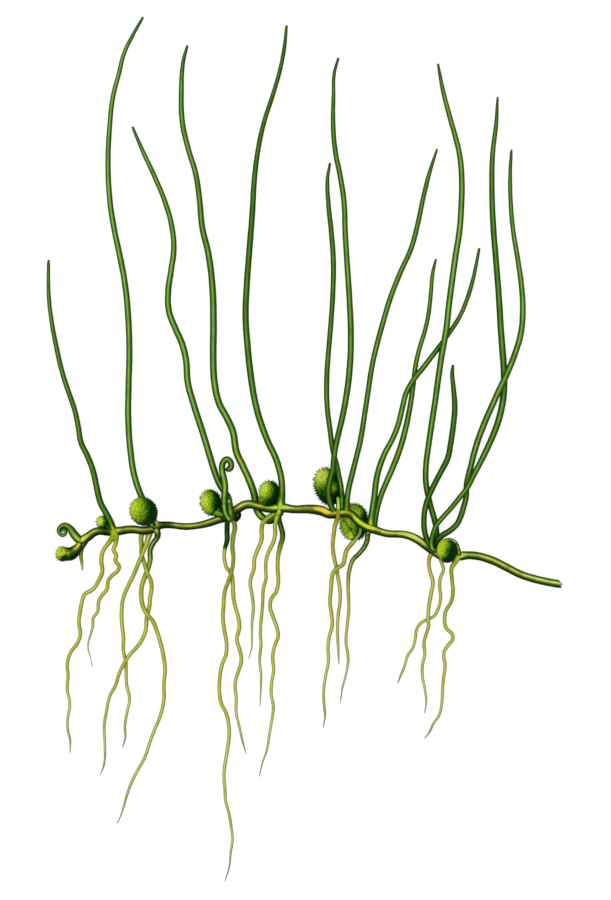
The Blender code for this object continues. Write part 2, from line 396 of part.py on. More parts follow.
add_tube("rhizome", RHIZOME, RHIZOME_RADIUS, RHIZOME_TAPER, RHIZOME_SPACING, THICK_TUBE, RHIZOME_COLOUR)
for name, (radius, route) in LEAVES.items():
    add_tube(name, route, radius, LEAF_TAPER, LEAF_SPACING, THIN_TUBE, LEAF_COLOUR)
add_tube("crozier_1", TIP_CROZIER, TIP_CROZIER_RADIUS, TIP_CROZIER_TAPER, CROZIER_SPACING, THIN_TUBE,
         YOUNG_LEAF_COLOUR)
add_tube("crozier_2", MIDDLE_CROZIER, MIDDLE_CROZIER_RADIUS, MIDDLE_CROZIER_TAPER, CROZIER_SPACING,
         THIN_TUBE, YOUNG_LEAF_COLOUR)
for name, measures in PILLS.items():
    add_pill(name, *measures, PILL_COLOUR)
for name, route in ROOTS.items():
    add_tube(name, route, ROOT_RADIUS, ROOT_TAPER, ROOT_SPACING, THIN_TUBE, ROOT_COLOUR)
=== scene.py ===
"""A pillwort dug up whole and laid flat: rhizome, thread leaves, coiled young leaves, pills and roots."""
import math

import bpy
import numpy as np
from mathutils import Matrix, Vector


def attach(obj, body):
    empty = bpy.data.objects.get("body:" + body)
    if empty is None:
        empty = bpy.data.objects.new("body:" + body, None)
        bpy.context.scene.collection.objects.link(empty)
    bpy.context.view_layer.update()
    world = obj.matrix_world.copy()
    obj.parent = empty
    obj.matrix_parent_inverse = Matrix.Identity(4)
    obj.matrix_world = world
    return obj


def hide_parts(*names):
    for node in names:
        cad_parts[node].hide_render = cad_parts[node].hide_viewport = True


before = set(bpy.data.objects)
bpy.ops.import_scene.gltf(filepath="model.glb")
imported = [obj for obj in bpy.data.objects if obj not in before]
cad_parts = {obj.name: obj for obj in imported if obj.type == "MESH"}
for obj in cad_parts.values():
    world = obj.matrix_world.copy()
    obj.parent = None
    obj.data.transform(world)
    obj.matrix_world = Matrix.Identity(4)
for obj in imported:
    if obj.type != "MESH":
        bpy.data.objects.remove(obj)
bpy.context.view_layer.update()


# The rhizome, a creeping stem about 1 mm thick. It is smooth, fleshy and olive-yellow, with a painted
# highlight where it faces a fixed light and painted shade darker below, and it grew on from its left
# tip. Its right end was torn off.
MM = 0.001
# The points of its middle line, each with the radius there. All sizes of the plant are in mm, and
# times MM they are in metres.
RHIZOME_ROUTE = [
    (-27.1, -11.25, 0.75, 0.36), (-26.7, -11.02, 0.74, 0.54), (-26.08, -10.58, 0.73, 0.54),
    (-24.95, -9.88, 0.75, 0.5), (-23.6, -9.93, 0.85, 0.48), (-22.9, -9.93, 0.95, 0.54),
    (-22.2, -9.82, 1, 0.52), (-20.8, -9.62, 1, 0.5), (-19.2, -9.76, 1.05, 0.51), (-18.25, -9.56, 1.12, 0.53),
    (-17.5, -9.2, 1.17, 0.5), (-16.6, -9.09, 1.2, 0.42), (-14.2, -9.28, 1.25, 0.42),
    (-12.2, -9.03, 1.35, 0.45), (-10.4, -8.45, 1.5, 0.5), (-9.2, -8, 1.55, 0.6), (-8.2, -7.26, 1.6, 0.55),
    (-6.9, -6.62, 1.65, 0.53), (-5.4, -6.9, 1.65, 0.5), (-4.2, -7.13, 1.72, 0.52), (-2.9, -7.02, 1.9, 0.57),
    (-1.2, -7.2, 2.35, 0.49), (0.6, -7.17, 3.05, 0.56), (1.9, -7.34, 3.5, 0.6), (3, -7.74, 3.8, 0.56),
    (4.3, -7.62, 3.98, 0.54), (5.4, -7.75, 4.06, 0.5), (6.2, -8.5, 4.04, 0.5), (7.1, -9.15, 3.75, 0.53),
    (8.3, -9.64, 3.1, 0.5), (9.8, -10.08, 2.45, 0.45), (11.8, -10.23, 1.8, 0.47), (13.2, -10.7, 1.45, 0.5),
    (14.4, -11.55, 1.15, 0.5), (15.6, -12.48, 0.7, 0.42), (16.9, -13.04, 0.52, 0.47),
    (18.4, -12.85, 0.6, 0.54), (20, -12.75, 0.54, 0.49), (22, -13.19, 0.54, 0.5), (24, -14.11, 0.54, 0.49),
    (26, -15.1, 0.53, 0.48), (28.2, -15.74, 0.53, 0.49), (30.62, -16.22, 0.52, 0.47),
]
# The skin's colours, from where it faces away from the light to where it faces it
RHIZOME_TONES = [
    (0, (0.002, 0.015, 0)), (0.45, (0.003, 0.02, 0)), (0.7, (0.008, 0.032, 0)), (0.8, (0.03, 0.055, 0)),
    (0.87, (0.08, 0.105, 0.001)), (0.92, (0.125, 0.15, 0.003)), (0.96, (0.18, 0.205, 0.009)),
    (0.983, (0.28, 0.31, 0.028)), (1, (0.52, 0.56, 0.1)),
]
# The fixed light that the stem's painted highlight and shade are worked out from
RHIZOME_LIGHT = (-0.1, 0.25, 0.95)
# Stains on the stem together with painted light: yellower nodes, painted shade on dark stretches and
# painted highlights in places, each with its place and reach in mm, what it does to red, green and
# blue, and how far it shifts the painted highlight and shade
RHIZOME_STAINS_AND_PAINTED_LIGHT = [
    (-26.6, -11, 1.3, (1.3, 1.35, 0.5, 0.07)), (-25.2, -9.85, 0.8, (1.05, 1, 1.2, 0)),
    (-23.9, -9.95, 1.3, (0.18, 0.33, 0.5, -0.04)), (-22.75, -9.8, 0.8, (1.25, 1.2, 0.5, 0.06)),
    (-18, -9.45, 0.8, (1.1, 1.1, 1.6, 0.04)), (-16.6, -9, 1.4, (0.2, 0.35, 0.5, -0.04)),
    (-9.3, -8.2, 1.2, (0.3, 0.5, 0.5, 0)), (-8.2, -7.5, 0.8, (0.5, 0.6, 0.4, 0)),
    (-7.5, -7, 0.7, (1.2, 1.2, 1.6, 0.02)), (-6.2, -6.7, 1.2, (1.05, 1.13, 1, 0.01)),
    (-3, -7.05, 1.4, (1.05, 1.4, 0.6, 0.08)), (0.4, -7.2, 3, (1.25, 1.02, 0.7, 0)),
    (2.4, -7.5, 1.2, (1.35, 1, 0.6, 0)), (1.7, -6.95, 0.8, (1.15, 1, 1, 0.1)),
    (2.5, -7.2, 0.8, (1.25, 1.15, 1, 0.16)), (4, -7.7, 0.9, (1.05, 1.05, 0.3, 0.01)),
    (4.8, -7.6, 0.7, (0.95, 1.2, 0.65, 0)), (6.4, -8.7, 1.5, (0.95, 1.32, 0.25, 0.03)),
    (7.75, -9.3, 1, (1.45, 1.3, 0.2, 0.12)), (9.4, -9.9, 1.8, (1.15, 1.25, 0.75, 0.04)),
    (12.8, -10.6, 2.4, (1.2, 1.3, 1.1, 0.08)), (14.6, -11.6, 0.9, (0.85, 1, 0.9, 0)),
    (15.9, -12.7, 0.7, (1.15, 1.15, 2.8, 0.05)), (18.3, -12.8, 1.3, (1.2, 1.55, 0.55, 0.19)),
    (20.2, -12.8, 1.3, (0.82, 0.86, 0.9, -0.01)), (22, -13.2, 4, (1.08, 1.24, 1.2, 0.01)),
    (28, -15.6, 5, (1.15, 1.35, 2, 0.01)),
]
# How far the swellings and dents of the skin stand out
UNEVENNESS = 0.035 * MM
# The torn end: how far its face is aslant and ragged, how far each ring of it is set in and pushed
# and how much of that goes aside, where it starts and faces, and how wide its fibres are
TEAR_SLANT = 0.42
TEAR_RAGGED = 0.04
TEAR_RINGS = ((0.06, -0.14), (0.1, 0.09), (0.08, -0.05))
TEAR_ASIDE = 0.2
TEAR_STARTS = 30.3
TEAR_FACING = 0.4
FIBRE_SIZE = 0.12 * MM
TORN_TONES = [(0.35, (0.09, 0.08, 0.03)), (0.5, (0.3, 0.3, 0.13)), (0.65, (0.6, 0.62, 0.4))]
# Corners nearer than this become one
TOUCHING = 0.0001 * MM
# A route is followed in this many marks, and its direction is taken over so many each way at least
MARKS = 400
LEAST_REACH = 6
# The painted highlight that a climbing stem would lose is made good up to this steepness
STEEPEST = 0.15
# The shine of all tissue, the sizes of its mottles and changes of hue, where these begin and end,
# how much of the change red, green and blue lose where it is browner, and how far its grain shows
GLOSS = 0.02
MOTTLE_SIZE = 1.6 * MM
HUE_SIZE = 4.5 * MM
HUE_ENDS = (0.36, 0.64)
BROWNING = (0, 0.3, 0.5)
GRAIN = 0.35
# No stain
CLEAN = (1, 1, 1)
PLAIN = [(0, CLEAN)]


def deselect():
    for other in bpy.context.selected_objects:
        other.select_set(False)


def draw(name, points, steps):
    """A smooth curve through the points, which are in mm."""
    deselect()
    bpy.ops.curve.primitive_bezier_curve_add()
    line = bpy.context.object
    line.name = name
    line.data.dimensions = "3D"
    line.data.resolution_u = steps
    knots = line.data.splines[0].bezier_points
    knots.add(len(points) - 2)
    for knot, point in zip(knots, points):
        knot.co = [distance * MM for distance in point]
        knot.handle_left_type = knot.handle_right_type = "AUTO"
    return line


def start_mesh(piece):
    """Makes the drawn piece a mesh, all of it selected in edit mode."""
    bpy.ops.object.convert(target="MESH")
    piece.data.name = piece.name
    bpy.ops.object.mode_set(mode="EDIT")
    bpy.ops.mesh.select_all(action="SELECT")


def close_mesh():
    """Merges what touches, turns all faces outwards and leaves edit mode."""
    bpy.ops.mesh.select_all(action="SELECT")
    bpy.ops.mesh.remove_doubles(threshold=TOUCHING)
    bpy.ops.mesh.normals_make_consistent(inside=False)
    bpy.ops.object.mode_set(mode="OBJECT")


def grow(name, route, sides=16, steps=8):
    """A closed round stem along the route, whose points each give x, y, z and their radius in mm."""
    stem = draw(name, [point[:3] for point in route], steps)
    stem.data.twist_mode = "Z_UP"
    stem.data.bevel_depth = MM
    stem.data.bevel_resolution = sides // 2 - 2
    stem.data.use_fill_caps = True
    spline = stem.data.splines[0]
    spline.radius_interpolation = "CARDINAL"
    for knot, point in zip(spline.bezier_points, route):
        knot.radius = point[3]
    start_mesh(stem)
    close_mesh()
    return stem


def roughen(piece, size, strength):
    """Fine swellings and dents all over the piece, as grown tissue has."""
    lumps = bpy.data.textures.new(piece.name, "CLOUDS")
    lumps.noise_scale = size
    change = piece.modifiers.new("lumps", "DISPLACE")
    change.texture = lumps
    change.texture_coords = "LOCAL"
    change.strength = strength
    bpy.context.view_layer.objects.active = piece
    bpy.ops.object.modifier_apply(modifier="lumps")


def smooth(piece, degrees=60):
    deselect()
    piece.select_set(True)
    bpy.context.view_layer.objects.active = piece
    bpy.ops.object.shade_smooth_by_angle(angle=math.radians(degrees))


def shares_gone(piece, route):
    """For each corner of the piece its place in mm, the share of the route gone by there, and which
    way the route runs there."""
    places = np.empty(len(piece.data.vertices) * 3)
    piece.data.vertices.foreach_get("co", places)
    places = places.reshape(-1, 3) / MM
    line = np.array(route)[:, :3]
    along = np.append(0, np.cumsum(np.linalg.norm(np.diff(line, axis=0), axis=1)))
    shares = np.linspace(0, 1, MARKS)
    marks = np.column_stack([np.interp(shares, along / along[-1], column) for column in line.T])
    reach = max(LEAST_REACH, MARKS // 2 // (len(route) - 1))
    ahead = np.minimum(np.arange(MARKS) + reach, MARKS - 1)
    behind = np.maximum(np.arange(MARKS) - reach, 0)
    ways = marks[ahead] - marks[behind]
    ways /= np.linalg.norm(ways, axis=1)[:, None]
    nearest = ((places[:, None] - marks) ** 2).sum(2).argmin(1)
    return places, shares[nearest], ways[nearest]


def mark(piece, name, values):
    piece.data.attributes.new(name, "FLOAT", "POINT").data.foreach_set("value", values)


def stain_and_paint_light(piece, route, light, stops, spots=()):
    """Multiplies the piece's red, green and blue, for stains and for painted shade, and shifts its painted
    highlight and shade, along its route and round each spot. Where the route climbs, the painted
    highlight on its crest still shows as bright as where it lies flat."""
    places, gone, ways = shares_gone(piece, route)
    shares = [share for share, _ in stops]
    tints_and_shading = np.column_stack([
        np.interp(gone, shares, [(*values, 0)[channel] for _, values in stops]) for channel in range(4)])
    for x, y, reach, (*colour, lift) in spots:
        near = np.clip(1 - np.hypot(places[:, 0] - x, places[:, 1] - y) / reach, 0, 1)
        near *= near * (3 - 2 * near)
        tints_and_shading[:, :3] *= 1 + near[:, None] * (np.array(colour) - 1)
        tints_and_shading[:, 3] += near * lift
    layer = piece.data.attributes.new("tint_and_painted_light", "FLOAT_COLOR", "POINT")
    layer.data.foreach_set("color", tints_and_shading.ravel())
    steep = np.ones(len(places))
    if light:
        along = ways @ np.array(Vector(light).normalized())
        steep = 1 / np.sqrt(np.clip(1 - along ** 2, STEEPEST, 1))
    mark(piece, "steep", steep)


def fill(node, inputs):
    """Puts a value or another node's output on each of the node's inputs that are given."""
    for name, value in inputs.items():
        if isinstance(value, bpy.types.NodeSocket):
            node.id_data.links.new(value, node.inputs[name])
        else:
            node.inputs[name].default_value = value


def add(tree, kind, inputs=None, **settings):
    node = tree.nodes.new("ShaderNode" + kind)
    for setting, value in settings.items():
        setattr(node, setting, value)
    fill(node, inputs or {})
    return node


def reckon(tree, operation, *values):
    return add(tree, "Math", dict(enumerate(values)), operation=operation).outputs[0]


def clouds(tree, size, detail=2):
    """Soft blotches of that size, which stay where they are on the piece."""
    place = add(tree, "TexCoord").outputs["Object"]
    return add(tree, "TexNoise", {"Vector": place, "Scale": 1 / size, "Detail": detail}).outputs["Fac"]


def ramp_of(tree, stops, level):
    ramp = add(tree, "ValToRGB", {"Fac": level})
    elements = ramp.color_ramp.elements
    elements[0].position, elements[0].color = stops[0][0], (*stops[0][1], 1)
    elements[1].position, elements[1].color = stops[-1][0], (*stops[-1][1], 1)
    for position, colour in stops[1:-1]:
        elements.new(position).color = (*colour, 1)
    return ramp


def times(tree, colour, other):
    return add(tree, "Mix", {"Factor": 1, "A": colour, "B": other},
               data_type="RGBA", blend_type="MULTIPLY").outputs["Result"]


def new_skin(name, roughness=0.5):
    skin = bpy.data.materials.new(name)
    skin.use_nodes = True
    fill(skin.node_tree.nodes["Principled BSDF"], {"Roughness": roughness, "Specular IOR Level": GLOSS})
    return skin


def tissue(name, tones, light, roughness, grain_size, grain_depth, mottle, drift):
    """Living tissue, with a painted highlight along the line that faces a fixed light and painted shade
    darker down its flanks, stained and shaded as the piece's own attribute of stains and painted light
    says. Its hue drifts between greener and browner along it."""
    skin = new_skin(name, roughness)
    tree = skin.node_tree
    normal = add(tree, "TexCoord").outputs["Normal"]
    # Painted highlight and shade, from how squarely the surface faces the fixed light
    facing = add(tree, "VectorMath", {0: normal, 1: Vector(light).normalized()}, operation="DOT_PRODUCT")
    climb = add(tree, "Attribute", attribute_name="steep")
    level = reckon(tree, "MULTIPLY", facing.outputs["Value"], climb.outputs["Fac"])
    mottles = reckon(tree, "MULTIPLY_ADD", clouds(tree, MOTTLE_SIZE, detail=5), mottle, -mottle / 2)
    stains_and_shading = add(tree, "Attribute", attribute_name="tint_and_painted_light")
    lifted = reckon(tree, "ADD", reckon(tree, "ADD", level, mottles), stains_and_shading.outputs["Alpha"])
    shown = ramp_of(tree, tones, lifted)
    shown.name = "tones"
    stained_and_shaded = times(tree, shown.outputs["Color"], stains_and_shading.outputs["Color"])
    greener, browner = (1 - drift, 1, 1), [1 - drift * share for share in BROWNING]
    hues = ramp_of(tree, [*zip(HUE_ENDS, (greener, browner))], clouds(tree, HUE_SIZE))
    bump = add(tree, "Bump", {"Strength": GRAIN, "Distance": grain_depth,
                              "Height": clouds(tree, grain_size, detail=3)})
    fill(tree.nodes["Principled BSDF"], {"Base Color": times(tree, stained_and_shaded, hues.outputs["Color"]),
                                         "Normal": bump.outputs["Normal"]})
    return skin


rhizome = grow("rhizome_stem", RHIZOME_ROUTE, sides=24, steps=10)
roughen(rhizome, 1.2 * MM, UNEVENNESS * 2)
# The torn end, aslant and ragged: its face pushed in, with a stump of pith in it
cap = [face for face in rhizome.data.polygons if len(face.vertices) == 3 and face.center.x > 0]
random = np.random.default_rng(3)
for corner in sorted({corner for face in cap for corner in face.vertices}):
    spot = rhizome.data.vertices[corner].co
    off_middle = spot.y - RHIZOME_ROUTE[-1][1] * MM
    spot.x += random.uniform(-TEAR_RAGGED, TEAR_RAGGED) * MM - TEAR_SLANT * off_middle
for part in (*rhizome.data.polygons, *rhizome.data.edges, *rhizome.data.vertices):
    part.select = False
for face in cap:
    face.select = True
bpy.ops.object.mode_set(mode="EDIT")
bpy.ops.mesh.select_mode(type="FACE")
bpy.ops.mesh.dissolve_faces()
for inward, push in TEAR_RINGS:
    bpy.ops.mesh.inset(thickness=inward * MM, depth=0)
    bpy.ops.transform.translate(value=(push * MM, -push * TEAR_ASIDE * MM, 0))
bpy.ops.object.mode_set(mode="OBJECT")
for face in rhizome.data.polygons:
    face.material_index = int(face.center.x > TEAR_STARTS * MM and face.normal.x > TEAR_FACING)
smooth(rhizome)
stain_and_paint_light(rhizome, RHIZOME_ROUTE, RHIZOME_LIGHT, PLAIN, RHIZOME_STAINS_AND_PAINTED_LIGHT)
stem_skin = tissue("rhizome_tissue", RHIZOME_TONES, RHIZOME_LIGHT, roughness=0.45,
                   grain_size=0.3 * MM, grain_depth=0.02 * MM, mottle=0.07, drift=0.1)
torn_skin = new_skin("torn_tissue")
torn_tones = ramp_of(torn_skin.node_tree, TORN_TONES, clouds(torn_skin.node_tree, FIBRE_SIZE))
fill(torn_skin.node_tree.nodes["Principled BSDF"], {"Base Color": torn_tones.outputs["Color"]})
rhizome.data.materials.append(stem_skin)
rhizome.data.materials.append(torn_skin)
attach(rhizome, "root")
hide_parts("rhizome")

# Small parts that stand out on their own: the blunt bud and the ridge under one node, stained dark
# green as painted shade under the node, and the fibres that were left where the stem tore. Each has
# its route and its stain, with how far that shifts its painted highlight and shade.
NODE_PARTS = {
    "bud_knob": ([(-8.35, -7.3, 1.3, 0.35), (-8.15, -7.7, 1.4, 0.5), (-8.15, -8.1, 1.3, 0.48),
                  (-8.35, -8.6, 1.15, 0.3)], (0.18, 0.42, 0.4, -0.02)),
    "bud_ridge": ([(-10.5, -7.95, 1.7, 0.2), (-9.8, -8.22, 1.9, 0.28), (-9.1, -8.45, 1.8, 0.28),
                   (-8.4, -8.2, 1.6, 0.22)], (0.2, 0.45, 0.5, -0.04)),
    "fibre_1": ([(30.4, -16.1, 0.62, 0.07), (30.7, -16.13, 0.66, 0.06), (30.9, -16.2, 0.62, 0.03)],
                (0.5, 0.45, 1.2, 0.2)),
    "fibre_2": ([(30.4, -16.3, 0.6, 0.06), (30.72, -16.3, 0.58, 0.05), (30.86, -16.22, 0.6, 0.03)],
                (0.4, 0.35, 1, 0.2)),
    "fibre_3": ([(30.4, -16.0, 0.5, 0.06), (30.62, -15.95, 0.46, 0.05), (30.76, -16, 0.4, 0.03)],
                (0.5, 0.5, 1.2, 0.2)),
}
for name, (route, shade) in NODE_PARTS.items():
    bud = grow("rhizome_" + name, route)
    smooth(bud)
    stain_and_paint_light(bud, route, RHIZOME_LIGHT, [(0, shade)])
    bud.data.materials.append(stem_skin)
    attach(bud, "root")


# The grown leaves, round green threads that taper to a point. They are firm and slightly waxy, and
# each grew from a node of the rhizome, where its base is sunk into the stem.
# The leaves' colours, from painted shade where they face away from a fixed light to a painted highlight
# where they face it
LEAF_TONES = [
    (0, (0.008, 0.038, 0)), (0.4, (0.011, 0.046, 0)), (0.6, (0.016, 0.06, 0)), (0.75, (0.026, 0.082, 0.001)),
    (0.86, (0.043, 0.122, 0.004)), (0.92, (0.067, 0.172, 0.008)), (0.955, (0.1, 0.24, 0.018)),
    (0.98, (0.16, 0.345, 0.038)), (1, (0.25, 0.48, 0.075)),
]
# The fixed light that the leaves' painted highlight and shade are worked out from
LEAF_LIGHT = (-0.06, 0.03, 0.98)
LEAF_GRAIN = 0.25 * MM
LEAF_GRAIN_DEPTH = 0.015 * MM
# The shares of a leaf's length that its radii are for. The first two are its foot, and how much of
# the foot's flare is left at the second. The last is its blunt end, and how thick that still is.
LEAF_SHARES = (0, 0.015, 0.04, 0.12, 0.3, 0.45, 0.6, 0.75, 0.85, 0.93, 0.985, 1)
FLARE_LEFT = 0.4
END_LEFT = 0.7
# How fresh the green of a leaf is from its base to its tip: 1 is fresh, and less is darker
DEPTH_SHARES = (0, 0.25, 0.6, 0.93)
LEAF_DEPTHS = {
    1: (0.55, 0.7, 0.7, 0.7), 2: (1, 1, 1.05, 0.95), 3: (0.9, 1, 1, 0.95), 4: (1, 1.05, 0.85, 0.9),
    5: (1, 0.75, 0.55, 0.45), 6: (0.8, 0.7, 0.6, 0.6), 7: (0.5, 0.8, 0.95, 0.65), 8: (0.7, 0.8, 0.8, 0.7),
    9: (0.7, 0.9, 0.9, 0.7), 10: (0.9, 1, 0.75, 0.6), 11: (0.6, 0.9, 1.1, 0.95), 12: (0.5, 0.5, 0.5, 0.5),
    13: (0.8, 0.8, 0.65, 0.7), 14: (0.5, 0.9, 1, 0.7),
}
# The powers by which a darker green loses red, green and blue, how far its painted highlight
# narrows and its painted shade deepens, and the browner tip
DARKENING = (0.6, 0.4, 0.6)
DIMMING = 0.06
LEAF_TIP = (0.75, 0.6, 1.1, -0.04)
TIP_SHARE = 0.985
# Paler or yellower places near the bases, some with a brighter painted highlight, and darker ones
# that are painted shade among the parts at the nodes
LEAF_STAINS_AND_PAINTED_LIGHT = {
    1: [(-22.85, -9.7, 0.8, (2.6, 1.6, 0.5, 0.02))],
    2: [(-17.8, -8.8, 0.8, (2.8, 1.7, 3, 0.07))],
    3: [(-8.85, -7.4, 0.9, (1.3, 0.88, 0.4, 0)), (-9.1, -6.4, 0.8, (1.7, 1.6, 1.9, 0.1))],
    4: [(-7, -2, 4.5, (1.35, 1.04, 0.7, 0)), (-4, -8.75, 0.9, (0.2, 0.3, 0.25, -0.06)),
        (-5.4, -7.9, 0.8, (1.8, 1.35, 0.7, 0.04))],
    5: [(-2.95, -6.9, 1.3, (1.95, 1.4, 0.7, 0.045))], 6: [(4.3, -7.4, 0.8, (1, 1.1, 0.6, 0))],
    7: [(3.4, -7.2, 1, (1.1, 1.1, 1.6, 0))], 8: [(4.95, -7.3, 1, (1.4, 1.1, 1, 0.02))],
    10: [(7.78, -9.1, 1.2, (2.4, 1.4, 0.3, 0.04))],
    11: [(15.5, -11.3, 0.9, (0.4, 0.5, 0.5, -0.03))],
    13: [(15.4, -11.9, 0.9, (1, 0.95, 1.2, 0))],
    14: [(15.8, -11.1, 1, (0.4, 0.5, 0.5, -0.03))],
}
# The height of a leaf's middle line where its points give none, because it lies on the surface
LEAF_LYING = 0.45
